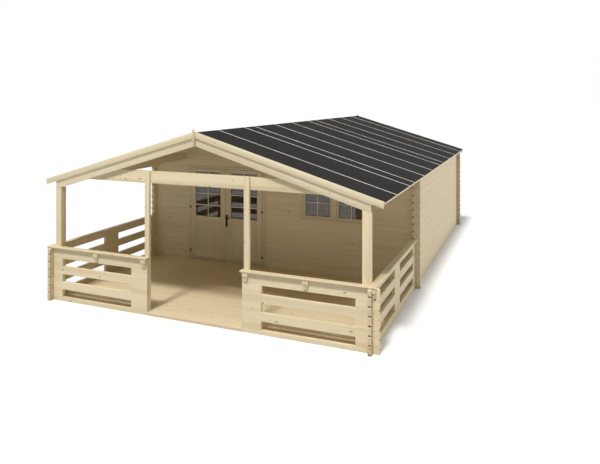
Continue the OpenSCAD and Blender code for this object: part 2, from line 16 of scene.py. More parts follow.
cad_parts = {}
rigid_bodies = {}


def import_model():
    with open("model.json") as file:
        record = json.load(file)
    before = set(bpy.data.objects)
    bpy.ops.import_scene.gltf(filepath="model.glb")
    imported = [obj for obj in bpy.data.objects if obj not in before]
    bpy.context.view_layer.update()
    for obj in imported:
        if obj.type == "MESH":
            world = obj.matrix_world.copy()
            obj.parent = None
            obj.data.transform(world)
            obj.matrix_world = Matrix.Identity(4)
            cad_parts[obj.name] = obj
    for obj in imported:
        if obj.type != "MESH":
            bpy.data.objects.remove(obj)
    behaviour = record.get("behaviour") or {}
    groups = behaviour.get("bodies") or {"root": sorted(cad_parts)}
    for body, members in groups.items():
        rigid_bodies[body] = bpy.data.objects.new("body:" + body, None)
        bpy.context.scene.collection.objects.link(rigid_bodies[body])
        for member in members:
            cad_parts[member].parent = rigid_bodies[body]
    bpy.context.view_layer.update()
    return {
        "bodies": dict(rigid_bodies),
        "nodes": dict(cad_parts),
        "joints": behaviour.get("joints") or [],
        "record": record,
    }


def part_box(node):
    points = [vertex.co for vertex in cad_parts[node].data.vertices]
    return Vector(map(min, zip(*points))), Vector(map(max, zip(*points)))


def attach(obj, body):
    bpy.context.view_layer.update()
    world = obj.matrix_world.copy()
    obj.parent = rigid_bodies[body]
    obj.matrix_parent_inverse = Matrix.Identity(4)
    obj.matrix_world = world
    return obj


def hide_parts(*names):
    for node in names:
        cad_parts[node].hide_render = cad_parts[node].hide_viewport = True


LOG = logging.getLogger("cabin")
ROOF_PITCH = math.radians(16.45)
WELD = 0.00002  # points of a CAD mesh nearer than this are one point, in metres
FLAT = 0.01  # faces that meet at less than this angle are one face
FOLD = 0.5  # edges that turn more than this angle are eased
SHARP = math.radians(28)  # edges that turn more than this angle look hard
JOINERY_EASE = 0.0015  # how far edges are eased on doors, on beams and on the frame
BEAM_EASE = 0.002
FRAME_EASE = 0.0025
GRAIN_SHIFT = 40.0  # how far along the grain two timbers' figures may start apart, in metres
SQUARE = 0.97  # faces less square than this to their timber are eased edges, as a cosine
X_AXIS = Vector((1.0, 0.0, 0.0))
Y_AXIS = Vector((0.0, 1.0, 0.0))
Z_AXIS = Vector((0.0, 0.0, 1.0))
HALF = (0.5, 0.5, 0.5)

Colour = tuple[float, float, float, float]
Span = tuple[float, float]
Triple = tuple[float, float, float]
Ports = tuple[tuple[str, str], ...]
Socket = bpy.types.NodeSocket
Plug = Union[float, tuple, Vector, Socket, None]


def srgb(red: int, green: int, blue: int) -> Colour:
    """Turns a paint-chart colour into linear light.

    Args:
        red: Red, 0 to 255.
        green: Green, 0 to 255.
        blue: Blue, 0 to 255.

    Returns:
        The colour as linear red, green, blue and full alpha.
    """
    shares = (channel / 255 for channel in (red, green, blue))
    linear = [s / 12.92 if s <= 0.04045 else ((s + 0.055) / 1.055) ** 2.4 for s in shares]
    return (linear[0], linear[1], linear[2], 1.0)


class Body(Enum):
    """The bodies that a piece can ride on."""

    CABIN = "cabin"
    LEFT_DOOR = "left_door"
    RIGHT_DOOR = "right_door"


class Slot(Enum):
    """The record's material slots."""

    WALL_PINE = "wall_pine"
    RAIL_PINE = "rail_pine"
    FRAME_PINE = "frame_pine"
    DECK_PINE = "deck_pine"
    FLOOR_PINE = "floor_pine"
    JOINERY_PINE = "joinery_pine"
    ROOF_FELT = "roof_felt"
    CLEAR_GLASS = "clear_glass"
    BLACK_METAL = "black_metal"


class Grain(Enum):
    """The direction in which a timber's grain runs."""

    ALONG = "along the longest side"
    ACROSS = "across the cabin"
    DEPTH = "from front to back"
    UPRIGHT = "upright"
    SLOPE = "down the roof slope"


AXES = {Grain.ACROSS: 0, Grain.DEPTH: 1, Grain.UPRIGHT: 2}


class Side(Enum):
    """The two slopes of the roof, with the sign of their X."""

    LEFT = -1
    RIGHT = 1

    @property
    def word(self) -> str:
        """The side as the names of pieces and nodes say it."""
        return self.name.lower()

    @property
    def along(self) -> Vector:
        """The direction down this slope."""
        return Vector((self.value * math.cos(ROOF_PITCH), 0.0, -math.sin(ROOF_PITCH)))

    @property
    def up(self) -> Vector:
        """The direction square to this slope, outwards."""
        return Vector((self.value * math.sin(ROOF_PITCH), 0.0, math.cos(ROOF_PITCH)))


# ---------------------------------------------------------------- shader nodes


class Graph:
    """Places and joins shader nodes in one node tree."""

    def __init__(self, tree: bpy.types.NodeTree) -> None:
        """Keeps the tree that nodes go into."""
        self.tree = tree

    def plug(self, socket: Socket, value: Plug) -> None:
        """Links a socket to another socket, or sets its own value.

        Args:
            socket: The socket that takes the value.
            value: A socket, a value, or None to leave it as it is.
        """
        if isinstance(value, Socket):
            self.tree.links.new(value, socket)
        elif value is not None:
            socket.default_value = value

    def fill(self, made: bpy.types.Node, plugs: dict[str, Plug]) -> None:
        """Links or sets a node's inputs by name."""
        for key, value in plugs.items():
            self.plug(made.inputs[key], value)

    def node(
        self, kind: str, plugs: Optional[dict[str, Plug]] = None, **settings: object,
    ) -> bpy.types.Node:
        """Adds one node.

        Args:
            kind: The node's type name.
            plugs: Values or sockets by input name.
            settings: The node's own properties.

        Returns:
            The new node.
        """
        made = self.tree.nodes.new(kind)
        for key, value in settings.items():
            setattr(made, key, value)
        self.fill(made, plugs or {})
        return made

    def math(
        self, operation: str, first: Plug, second: Plug = None, third: Plug = None,
        clamp: bool = False,
    ) -> Socket:
        """Adds a Math node.

        Args:
            operation: What it works out.
            first: Its first value.
            second: Its second value.
            third: Its third value.
            clamp: Whether the result is kept within 0 and 1.

        Returns:
            The result.
        """
        made = self.node("ShaderNodeMath", operation=operation, use_clamp=clamp)
        for socket, value in zip(made.inputs, (first, second, third)):
            self.plug(socket, value)
        return made.outputs[0]

    def vector(self, operation: str, first: Plug, second: Plug = None) -> Socket:
        """Adds a Vector Math node.

        Args:
            operation: What it works out.
            first: Its first vector.
            second: Its second vector.

        Returns:
            The result: a value for a length, and otherwise a vector.
        """
        made = self.node("ShaderNodeVectorMath", operation=operation)
        self.plug(made.inputs[0], first)
        self.plug(made.inputs[1], second)
        return made.outputs["Value" if operation == "LENGTH" else "Vector"]

    def noise(self, place: Plug, scale: Union[float, Triple], detail: float = 2.0) -> Socket:
        """Adds a Noise texture.

        Args:
            place: Where it is read.
            scale: Its scale, or a scale for each axis.
            detail: How many finer layers it has.

        Returns:
            Its value, 0 to 1.
        """
        if isinstance(scale, tuple):
            place, scale = self.vector("MULTIPLY", place, scale), 1.0
        plugs = {"Vector": place, "Scale": scale, "Detail": detail}
        return self.node("ShaderNodeTexNoise", plugs).outputs[0]

    def wander(self, place: Plug, scale: float, swing: Triple) -> Socket:
        """Adds a smooth random offset.

        Args:
            place: Where it is read.
            scale: How quickly it changes.
            swing: Its full width on each axis.

        Returns:
            The offset.
        """
        drift = self.node("ShaderNodeTexNoise", {"Vector": place, "Scale": scale, "Detail": 2.0})
        centred = self.vector("SUBTRACT", drift.outputs["Color"], HALF)
        return self.vector("MULTIPLY", centred, swing)

    def fade(
        self, value: Plug, low: Plug, high: Plug, start: Plug = 0.0, end: Plug = 1.0,
    ) -> Socket:
        """Maps a value from one range to another with soft shoulders.

        Args:
            value: The value.
            low: Where the fade starts.
            high: Where it ends.
            start: The result at the start.
            end: The result at the end.

        Returns:
            The result.
        """
        made = self.node("ShaderNodeMapRange", {
            "Value": value, "From Min": low, "From Max": high, "To Min": start, "To Max": end,
        }, interpolation_type="SMOOTHSTEP")
        return made.outputs[0]

    def mix(self, share: Plug, first: Plug, second: Plug) -> Socket:
        """Mixes two colours.

        Args:
            share: The second colour's share.
            first: The first colour.
            second: The second colour.

        Returns:
            The mixed colour.
        """
        made = self.node("ShaderNodeMix", data_type="RGBA")
        # the node has sockets for each kind of value: 6 and 7 take colours, and 2 gives one
        for number, value in ((0, share), (6, first), (7, second)):
            self.plug(made.inputs[number], value)
        return made.outputs[2]

    def group(self, effect: "Effect", plugs: dict[str, Plug]) -> bpy.types.Node:
        """Places an effect's node group with its own values."""
        return self.node("ShaderNodeGroup", plugs, node_tree=effect.tree())

    def attribute(self, name: str, output: str = "Fac") -> Socket:
        """Reads what a mesh says at each point or face."""
        return self.node("ShaderNodeAttribute", attribute_name=name).outputs[output]

    def place(self) -> Socket:
        """Reads the place on the object, in metres."""
        return self.node("ShaderNodeTexCoord").outputs["Object"]

    def relief(self, shader: bpy.types.Node, height: Plug, strength: float, depth: float) -> None:
        """Gives a shader relief.

        Args:
            shader: The shader.
            height: The height over the surface, 0 to 1.
            strength: How much the relief shows.
            depth: The full height, in metres.
        """
        plugs = {"Strength": strength, "Distance": depth, "Height": height}
        self.plug(shader.inputs["Normal"], self.node("ShaderNodeBump", plugs).outputs[0])


@dataclass(frozen=True)
class Effect:
    """A surface effect that several finishes share, as one shader node group."""

    name: str
    takes: Ports
    gives: Ports

    def tree(self) -> bpy.types.NodeTree:
        """Builds the node group on first use.

        Returns:
            The node group.
        """
        found = bpy.data.node_groups.get(self.name)
        if found:
            return found
        tree = bpy.data.node_groups.new(self.name, "ShaderNodeTree")
        for way, ports in (("INPUT", self.takes), ("OUTPUT", self.gives)):
            for name, kind in ports:
                tree.interface.new_socket(
                    name=name, in_out=way, socket_type=f"NodeSocket{kind}",
                )
        graph = Graph(tree)
        taken = graph.node("NodeGroupInput")
        graph.node("NodeGroupOutput", self.wire(graph, taken.outputs))
        return tree

    def wire(self, graph: Graph, taken: bpy.types.NodeOutputs) -> dict[str, Socket]:
        """Wires the group's nodes; each effect has its own."""
        raise NotImplementedError(self.name)


@dataclass(frozen=True)
class TimberFigure(Effect):
    """Growth rings, streaks, fibres and knots in a timber's own frame.

    The frame's X runs along the grain, its Y through the timber and its Z across the broad face.
    """

    name: str = "timber_figure"
    takes: Ports = (
        ("Grain", "Vector"), ("Tone", "Float"), ("Ring Width", "Float"), ("Knot Share", "Float"),
    )
    gives: Ports = (
        ("Rings", "Float"), ("Streaks", "Float"), ("Fibres", "Float"), ("Knots", "Float"),
    )
    cells_a_metre: Span = (2.9, 6.6)
    first_row: float = 0.5
    board_step: float = 37.0
    bend_scale: float = 38.0
    bend: Triple = (0.05, 0.05, 0.0)
    knot_more: float = 0.05
    knot_least: float = 0.04
    knot_core: float = 0.45
    halo: Span = (0.22, 0.02)
    halo_push: float = 1.7
    drift_scale: Triple = (0.42, 2.2, 2.2)
    drift: Triple = (0.0, 0.10, 0.10)
    pith_luck: float = 7.31
    pith_spread: Span = (0.11, 0.09)
    pith_start: float = -0.075
    ripple_scale: Triple = (2.5, 55.0, 55.0)
    ripple: float = 0.0035
    ring_power: float = 2.0
    ring_end: Span = (1.0, 0.86)
    streak_scale: Triple = (0.6, 17.0, 17.0)
    fibre_scale: Triple = (5.0, 420.0, 420.0)

    def wire(self, graph: Graph, taken: bpy.types.NodeOutputs) -> dict[str, Socket]:
        """Wires rings, knots, stretched streaks and fine fibres.

        Args:
            graph: The group's graph.
            taken: The group's inputs.

        Returns:
            The four masks by name.
        """
        knots, halo = self.wire_knots(graph, taken)
        return {
            "Rings": self.wire_rings(graph, taken, halo),
            "Streaks": graph.noise(taken["Grain"], self.streak_scale, 3.0),
            "Fibres": graph.noise(taken["Grain"], self.fibre_scale, 2.0),
            "Knots": knots,
        }

    def wire_knots(self, graph: Graph, taken: bpy.types.NodeOutputs) -> tuple[Socket, Socket]:
        """Wires ovals on the broad face, one to a cell, with some cells left clear.

        Args:
            graph: The group's graph.
            taken: The group's inputs.

        Returns:
            The knots, and the wider place round them where the rings bend.
        """
        parts = graph.node("ShaderNodeSeparateXYZ", {"Vector": taken["Grain"]})
        along = graph.math("MULTIPLY", parts.outputs[0], self.cells_a_metre[0])
        across = graph.math("MULTIPLY_ADD", parts.outputs[2], self.cells_a_metre[1], self.first_row)
        across = graph.math("ADD", across, graph.math("MULTIPLY", taken["Tone"], self.board_step))
        face = graph.node("ShaderNodeCombineXYZ", {"X": along, "Y": across}).outputs[0]
        bent = graph.vector("ADD", face, graph.wander(taken["Grain"], self.bend_scale, self.bend))
        cell = graph.node(
            "ShaderNodeTexVoronoi", {"Vector": bent, "Scale": 1.0}, voronoi_dimensions="2D",
        )
        luck = graph.node("ShaderNodeSeparateColor", {"Color": cell.outputs["Color"]})
        there = graph.math("LESS_THAN", luck.outputs[0], taken["Knot Share"])
        reach = graph.math("MULTIPLY_ADD", luck.outputs[1], self.knot_more, self.knot_least)
        core = graph.math("MULTIPLY", reach, self.knot_core)
        away = cell.outputs["Distance"]
        knots = graph.math("MULTIPLY", there, graph.fade(away, reach, core))
        return knots, graph.math("MULTIPLY", there, graph.fade(away, *self.halo))

    def wire_rings(self, graph: Graph, taken: bpy.types.NodeOutputs, halo: Socket) -> Socket:
        """Wires rings by the distance from a pith that wanders along the length.

        Args:
            graph: The group's graph.
            taken: The group's inputs.
            halo: Where the rings bend round knots.

        Returns:
            The dark late wood of the rings.
        """
        grain, tone = taken["Grain"], taken["Tone"]
        luck = graph.math("FRACT", graph.math("MULTIPLY", tone, self.pith_luck))
        pith = graph.node("ShaderNodeCombineXYZ", {
            "Y": graph.math("MULTIPLY_ADD", tone, self.pith_spread[0], self.pith_start),
            "Z": graph.math("MULTIPLY_ADD", luck, self.pith_spread[1], self.pith_start),
        })
        stretched = graph.vector("MULTIPLY", grain, self.drift_scale)
        arm = graph.vector("SUBTRACT", grain, pith.outputs[0])
        arm = graph.vector("ADD", arm, graph.wander(stretched, 1.0, self.drift))
        level = graph.vector("LENGTH", graph.vector("MULTIPLY", arm, (0.0, 1.0, 1.0)))
        ripple = graph.math("MULTIPLY", graph.noise(grain, self.ripple_scale, 3.0), self.ripple)
        count = graph.math("DIVIDE", graph.math("ADD", level, ripple), taken["Ring Width"])
        push = graph.math("MULTIPLY", halo, self.halo_push)
        saw = graph.math("FRACT", graph.math("ADD", count, push))
        late = graph.math("POWER", saw, self.ring_power)
        return graph.math("MULTIPLY", late, graph.fade(saw, *self.ring_end))


@dataclass(frozen=True)
class BoardTone(Effect):
    """Makes each board a little lighter, darker or warmer than the next."""

    name: str = "board_tone"
    takes: Ports = (("Color", "Color"), ("Tone", "Float"), ("Spread", "Float"))
    gives: Ports = (("Color", "Color"),)
    warm_luck: float = 13.7
    warm_turn: float = -0.10

    def wire(self, graph: Graph, taken: bpy.types.NodeOutputs) -> dict[str, Socket]:
        """Wires a shift of value and of hue from the board's tone.

        Args:
            graph: The group's graph.
            taken: The group's inputs.

        Returns:
            The shifted colour.
        """
        tone, spread = taken["Tone"], taken["Spread"]
        value = graph.math("MULTIPLY_ADD", graph.math("SUBTRACT", tone, 0.5), spread, 1.0)
        luck = graph.math("FRACT", graph.math("MULTIPLY", tone, self.warm_luck))
        warm = graph.math("MULTIPLY", graph.math("SUBTRACT", luck, 0.5), spread)
        hue = graph.math("MULTIPLY_ADD", warm, self.warm_turn, 0.5)
        plugs = {"Hue": hue, "Value": value, "Color": taken["Color"]}
        return {"Color": graph.node("ShaderNodeHueSaturation", plugs).outputs[0]}


@dataclass(frozen=True)
class GroundSoil(Effect):
    """Darkens a surface near the ground, where rain splashes up."""

    name: str = "ground_soil"
    takes: Ports = (
        ("Color", "Color"), ("Place", "Vector"), ("Soil", "Color"), ("Amount", "Float"),
    )
    gives: Ports = (("Color", "Color"),)
    band: Span = (0.17, -0.04)
    ragged: float = 0.16
    patch_scale: float = 9.0

    def wire(self, graph: Graph, taken: bpy.types.NodeOutputs) -> dict[str, Socket]:
        """Wires a fading band above the ground, broken up by noise.

        Args:
            graph: The group's graph.
            taken: The group's inputs.

        Returns:
            The soiled colour.
        """
        height = graph.node("ShaderNodeSeparateXYZ", {"Vector": taken["Place"]}).outputs[2]
        patch = graph.math("SUBTRACT", graph.noise(taken["Place"], self.patch_scale, 4.0), 0.5)
        ragged = graph.math("ADD", height, graph.math("MULTIPLY", patch, self.ragged))
        mask = graph.math("MULTIPLY", graph.fade(ragged, *self.band), taken["Amount"])
        return {"Color": graph.mix(mask, taken["Color"], taken["Soil"])}


@dataclass(frozen=True)
class EdgeWear(Effect):
    """Rubs the chamfered edges of a piece."""

    name: str = "edge_wear"
    takes: Ports = (
        ("Color", "Color"), ("Edge", "Float"), ("Place", "Vector"), ("Worn", "Color"),
        ("Amount", "Float"),
    )
    gives: Ports = (("Color", "Color"),)
    patch_scale: float = 23.0
    patch: Span = (0.32, 0.66)

    def wire(self, graph: Graph, taken: bpy.types.NodeOutputs) -> dict[str, Socket]:
        """Wires a patchy mask along the edges that were marked in the mesh.

        Args:
            graph: The group's graph.
            taken: The group's inputs.

        Returns:
            The worn colour.
        """
        patch = graph.fade(graph.noise(taken["Place"], self.patch_scale, 3.0), *self.patch)
        mask = graph.math("MULTIPLY", taken["Edge"], patch)
        mask = graph.math("MULTIPLY", mask, taken["Amount"])
        return {"Color": graph.mix(mask, taken["Color"], taken["Worn"])}


@dataclass(frozen=True)
class Grit(Effect):
    """Mineral grains pressed into a sheet."""

    name: str = "grit"
    takes: Ports = (
        ("Color", "Color"), ("Place", "Vector"), ("Fleck", "Color"), ("Amount", "Float"),
    )
    gives: Ports = (("Color", "Color"), ("Height", "Float"))
    grains_a_metre: float = 420.0
    pale: Span = (0.72, 1.0)
    broad_scale: float = 2.3
    broad: Span = (0.3, 0.7)
    broad_value: Span = (0.86, 1.12)

    def wire(self, graph: Graph, taken: bpy.types.NodeOutputs) -> dict[str, Socket]:
        """Wires grains, some of them pale, over broad uneven patches.

        Args:
            graph: The group's graph.
            taken: The group's inputs.

        Returns:
            The gritty colour, and the grains' height.
        """
        place = taken["Place"]
        grains = graph.node(
            "ShaderNodeTexVoronoi", {"Vector": place, "Scale": self.grains_a_metre},
        )
        luck = graph.node("ShaderNodeSeparateColor", {"Color": grains.outputs["Color"]}).outputs[0]
        pale = graph.math("MULTIPLY", graph.fade(luck, *self.pale), taken["Amount"])
        patches = graph.noise(place, self.broad_scale, 5.0)
        plugs = {
            "Value": graph.fade(patches, *self.broad, *self.broad_value), "Color": taken["Color"],
        }
        tint = graph.node("ShaderNodeHueSaturation", plugs).outputs[0]
        height = graph.math("SUBTRACT", 1.0, grains.outputs["Distance"])
        return {"Color": graph.mix(pale, tint, taken["Fleck"]), "Height": height}


# ---------------------------------------------------------------- finishes


@dataclass(frozen=True)
class Finish:
    """A finish: its name and the record's slot that it belongs to."""

    name: str
    slot: Slot

    def material(self) -> bpy.types.Material:
        """Makes the finish's material on first use.

        Returns:
            The material.
        """
        found = bpy.data.materials.get(self.name)
        if found:
            return found
        made = bpy.data.materials.new(self.name)
        made.use_nodes = True
        made.node_tree.nodes.clear()
        graph = Graph(made.node_tree)
        shader = graph.node("ShaderNodeBsdfPrincipled")
        graph.node("ShaderNodeOutputMaterial", {"Surface": shader.outputs[0]})
        self.wire(graph, shader)
        return made

    def wire(self, graph: Graph, shader: bpy.types.Node) -> None:
        """Wires the finish into its shader; each finish has its own."""
        raise NotImplementedError(self.name)


@dataclass(frozen=True)
class PineFinish(Finish):
    """Planed pine, bare or lightly oiled."""

    early: Colour = srgb(228, 214, 180)
    late: Colour = srgb(206, 178, 133)
    knot: Colour = srgb(142, 104, 66)
    soil: Colour = srgb(120, 100, 74)
    ring_width: float = 0.0052
    ring_show: float = 0.42
    streak_show: float = 0.36
    streaks: Span = (0.36, 0.72)
    fibre_show: float = 0.14
    fibres: Span = (0.35, 0.75)
    knot_share: float = 0.17
    knot_show: float = 0.72
    tone_spread: float = 0.08
    soil_amount: float = 0.16
    wear: float = 0.30
    rough: Span = (0.50, 0.66)
    rough_fibres: Span = (0.3, 0.7)
    gloss: float = 0.32
    ring_height: float = 0.6
    relief: Span = (0.28, 0.0007)

    def wire(self, graph: Graph, shader: bpy.types.Node) -> None:
        """Wires ring, streak, knot, tone, soil and edge wear into the wood.

        Args:
            graph: The material's graph.
            shader: The material's shader.
        """
        tone, place = graph.attribute("tone"), graph.place()
        figure = graph.group(TimberFigure(), {
            "Grain": graph.attribute("grain", "Vector"), "Tone": tone,
            "Ring Width": self.ring_width, "Knot Share": self.knot_share,
        }).outputs
        rings, fibres = figure["Rings"], figure["Fibres"]
        dark = graph.math(
            "ADD", graph.math("MULTIPLY", rings, self.ring_show),
            graph.fade(figure["Streaks"], *self.streaks, 0.0, self.streak_show), clamp=True,
        )
        wood = graph.mix(dark, self.early, self.late)
        wood = graph.mix(graph.fade(fibres, *self.fibres, 0.0, self.fibre_show), wood, self.late)
        wood = graph.mix(graph.math("MULTIPLY", figure["Knots"], self.knot_show), wood, self.knot)
        toned = graph.group(BoardTone(), {"Color": wood, "Tone": tone, "Spread": self.tone_spread})
        worn = graph.group(EdgeWear(), {
            "Color": toned.outputs["Color"], "Edge": graph.attribute("edge"), "Place": place,
            "Worn": self.early, "Amount": self.wear,
        })
        soiled = graph.group(GroundSoil(), {
            "Color": worn.outputs["Color"], "Place": place,
            "Soil": self.soil, "Amount": self.soil_amount,
        })
        graph.fill(shader, {
            "Base Color": soiled.outputs["Color"],
            "Roughness": graph.fade(fibres, *self.rough_fibres, *self.rough),
            "Specular IOR Level": self.gloss,
        })
        height = graph.math("ADD", graph.math("MULTIPLY", rings, self.ring_height), fibres)
        graph.relief(shader, height, *self.relief)


@dataclass(frozen=True)
class FeltFinish(Finish):
    """Bitumen roof felt with a mineral face."""

    face: Colour = srgb(33, 32, 30)
    fleck: Colour = srgb(64, 62, 58)
    fleck_amount: float = 0.55
    tone_spread: float = 0.22
    rough: Span = (0.95, 0.80)
    rough_grains: Span = (0.2, 1.0)
    gloss: float = 0.10
    relief: Span = (0.5, 0.0012)

    def wire(self, graph: Graph, shader: bpy.types.Node) -> None:
        """Wires mineral grit and the tone of each sheet.

        Args:
            graph: The material's graph.
            shader: The material's shader.
        """
        grit = graph.group(Grit(), {
            "Color": self.face, "Place": graph.place(),
            "Fleck": self.fleck, "Amount": self.fleck_amount,
        }).outputs
        toned = graph.group(BoardTone(), {
            "Color": grit["Color"], "Tone": graph.attribute("tone"), "Spread": self.tone_spread,
        })
        graph.fill(shader, {
            "Base Color": toned.outputs["Color"],
            "Roughness": graph.fade(grit["Height"], *self.rough_grains, *self.rough),
            "Specular IOR Level": self.gloss,
        })
        graph.relief(shader, grit["Height"], *self.relief)


@dataclass(frozen=True)
class GlassFinish(Finish):
    """Clear float glass, faintly grey and a little dusty."""

    tint: Colour = srgb(122, 119, 117)
    index: float = 1.85
    gleam: Colour = (1.0, 0.89, 0.79, 1.0)
    film_scale: float = 6.0
    film: Span = (0.35, 0.8)
    rough: Span = (0.0, 0.02)

    def wire(self, graph: Graph, shader: bpy.types.Node) -> None:
        """Wires a thin film of dust into clear glass.

        Args:
            graph: The material's graph.
            shader: The material's shader.
        """
        film = graph.noise(graph.place(), self.film_scale, 5.0)
        graph.fill(shader, {
            "Base Color": self.tint,
            "Roughness": graph.fade(film, *self.film, *self.rough),
            "Transmission Weight": 1.0,
            "IOR": self.index,
            "Specular Tint": self.gleam,
        })


@dataclass(frozen=True)
class HardwareFinish(Finish):
    """Coated or galvanised ironmongery, and the dark strips of painted shade by the glazing."""

    coat: Colour = srgb(24, 24, 25)
    bare: Colour = srgb(120, 118, 114)
    metallic: float = 0.35
    rough: float = 0.42
    rough_less: float = 0.05
    rough_more: float = 0.1
    wear: float = 0.5
    peel_scale: float = 900.0
    peel: Span = (0.3, 0.7)
    relief: Span = (0.2, 0.0003)

    def wire(self, graph: Graph, shader: bpy.types.Node) -> None:
        """Wires a coat like orange peel, and rubbed edges where there is wear.

        Args:
            graph: The material's graph.
            shader: The material's shader.
        """
        place = graph.place()
        peel = graph.noise(place, self.peel_scale)
        colour: Plug = self.coat
        if self.wear:
            colour = graph.group(EdgeWear(), {
                "Color": self.coat, "Edge": graph.attribute("edge"), "Place": place,
                "Worn": self.bare, "Amount": self.wear,
            }).outputs["Color"]
        rough = (self.rough - self.rough_less, self.rough + self.rough_more)
        graph.fill(shader, {
            "Base Color": colour,
            "Roughness": graph.fade(peel, *self.peel, *rough),
            "Metallic": self.metallic,
        })
        graph.relief(shader, peel, *self.relief)


WALL_PINE = PineFinish(
    "wall pine", Slot.WALL_PINE, early=srgb(226, 210, 173), late=srgb(208, 182, 138),
    ring_show=0.30, streak_show=0.24, tone_spread=0.04,
)
# A paler, less yellow copy of the wall pine for the front wall: painted light, lifting its colour
# to offset the veranda's shade on it.
SHADE_WALL_PINE = PineFinish(
    "sheltered wall pine", Slot.WALL_PINE, early=srgb(232, 220, 189), late=srgb(210, 185, 144),
    ring_show=0.35, streak_show=0.30, tone_spread=0.05,
)
RAIL_PINE = PineFinish("rail pine", Slot.RAIL_PINE, soil_amount=0.22)
# A paler copy of the rail pine for the front-facing rail parts and the sill: painted light on the
# front, while the side rails keep the plain rail pine.
FRONT_LIT_PINE = PineFinish(
    "front rail pine", Slot.RAIL_PINE, early=srgb(246, 232, 196), late=srgb(219, 190, 143),
    knot_share=0.20, soil_amount=0.12,
)
# A darker copy of the rail pine for the rail caps: painted shade on their tops, which lie under the
# roof.
SHADED_CAP_PINE = PineFinish(
    "rail cap pine", Slot.RAIL_PINE, early=srgb(221, 207, 174), late=srgb(200, 172, 129),
    soil_amount=0.0,
)
FRAME_PINE = PineFinish(
    "frame pine", Slot.FRAME_PINE, early=srgb(244, 230, 196), late=srgb(215, 187, 141),
    knot_share=0.50,
)
# A paler copy of the frame pine for the rafters and bargeboards: painted light, offsetting the
# shade that the bargeboards cast on the rafters.
LIT_EDGE_PINE = PineFinish(
    "roof edge pine", Slot.FRAME_PINE, early=srgb(252, 240, 208), late=srgb(224, 197, 152),
    knot_share=0.50,
)
DECK_PINE = PineFinish(
    "roof board pine", Slot.DECK_PINE, early=srgb(242, 229, 196), late=srgb(219, 193, 150),
)
FLOOR_PINE = PineFinish(
    "floor pine", Slot.FLOOR_PINE, early=srgb(229, 214, 180), late=srgb(206, 180, 137),
    ring_show=0.28, soil_amount=0.0, knot_share=0.22, tone_spread=0.03,
)
JOINERY_PINE = PineFinish(
    "joinery pine", Slot.JOINERY_PINE, early=srgb(224, 214, 187), late=srgb(203, 179, 141),
    ring_width=0.0038, ring_show=0.28, knot_share=0.05, tone_spread=0.02,
)
# Near-white pine for the glazing bars: a painted highlight for the bright lines that the bars show
# while they stand in shade.
HIGHLIGHT_BAR_PINE = PineFinish(
    "pale glazing bars", Slot.JOINERY_PINE, early=srgb(252, 249, 243), late=srgb(246, 240, 228),
    ring_show=0.2, knot_share=0.0,
)
ROOF_FELT = FeltFinish("roof felt", Slot.ROOF_FELT)
LAP_FELT = FeltFinish(
    "felt lap", Slot.ROOF_FELT, face=srgb(240, 239, 235), fleck=srgb(250, 249, 246),
    tone_spread=0.08,
)
FOLD_FELT = FeltFinish(
    "felt fold", Slot.ROOF_FELT, face=srgb(15, 15, 14), fleck=srgb(30, 29, 27), fleck_amount=0.3,
)
PANE_GLASS = GlassFinish("window glass", Slot.CLEAR_GLASS)
BLACK_METAL = HardwareFinish("black metal", Slot.BLACK_METAL)
HINGE_METAL = HardwareFinish(
    "bronzed hinges", Slot.BLACK_METAL, coat=srgb(82, 66, 46), metallic=0.6, wear=0.3,
)
# Near-black strips round each light of glass: painted shade, standing for the shaded inner bars
# seen through the glass beside the outer bars.
SHADE_SEAL = HardwareFinish(
    "glazing seal", Slot.ROOF_FELT, coat=srgb(30, 27, 25), metallic=0.0, rough=0.75, wear=0.0,
)
NAIL_METAL = HardwareFinish(
    "zinc nails", Slot.BLACK_METAL, coat=srgb(128, 128, 126), metallic=0.8, rough=0.45, wear=0.0,
)


# ---------------------------------------------------------------- mesh work


def islands(verts: Sequence[bmesh.types.BMVert]) -> Iterator[list[bmesh.types.BMVert]]:
    """Parts some points into solids that don't touch each other.

    Args:
        verts: The points.

    Yields:
        The points of each solid.
    """
    left = dict.fromkeys(verts)
    while left:
        start = next(iter(left))
        del left[start]
        heap, solid = [start], []
        while heap:
            vert = heap.pop()
            solid.append(vert)
            for edge in vert.link_edges:
                other = edge.other_vert(vert)
                if other in left:
                    del left[other]
                    heap.append(other)
        yield solid


def corners(verts: Sequence[bmesh.types.BMVert]) -> tuple[Vector, Vector]:
    """Finds the box round some points.

    Args:
        verts: The points.

    Returns:
        The box's lowest and highest corner.
    """
    low = Vector([min(v.co[axis] for v in verts) for axis in range(3)])
    high = Vector([max(v.co[axis] for v in verts) for axis in range(3)])
    return low, high


def solid_boxes(frame: dict, node: str) -> list[tuple[Vector, Vector]]:
    """Finds the box round each solid of a CAD node.

    Args:
        frame: The loaded frame.
        node: The node's name.

    Returns:
        Each solid's lowest and highest corner.
    """
    mesh = bmesh.new()
    mesh.from_mesh(frame["nodes"][node].data)
    bmesh.ops.remove_doubles(mesh, verts=mesh.verts, dist=WELD)
    boxes = [corners(solid) for solid in islands(list(mesh.verts))]
    mesh.free()
    return boxes


def dress_node(frame: dict, node: str, finish: Finish) -> None:
    """Puts a finish on a CAD node that keeps its own shape.

    Args:
        frame: The loaded frame.
        node: The node's name.
        finish: The finish.
    """
    kept = frame["nodes"][node]
    kept.data.materials.clear()
    kept.data.materials.append(finish.material())
    LOG.info("%s: kept, %s", node, finish.name)


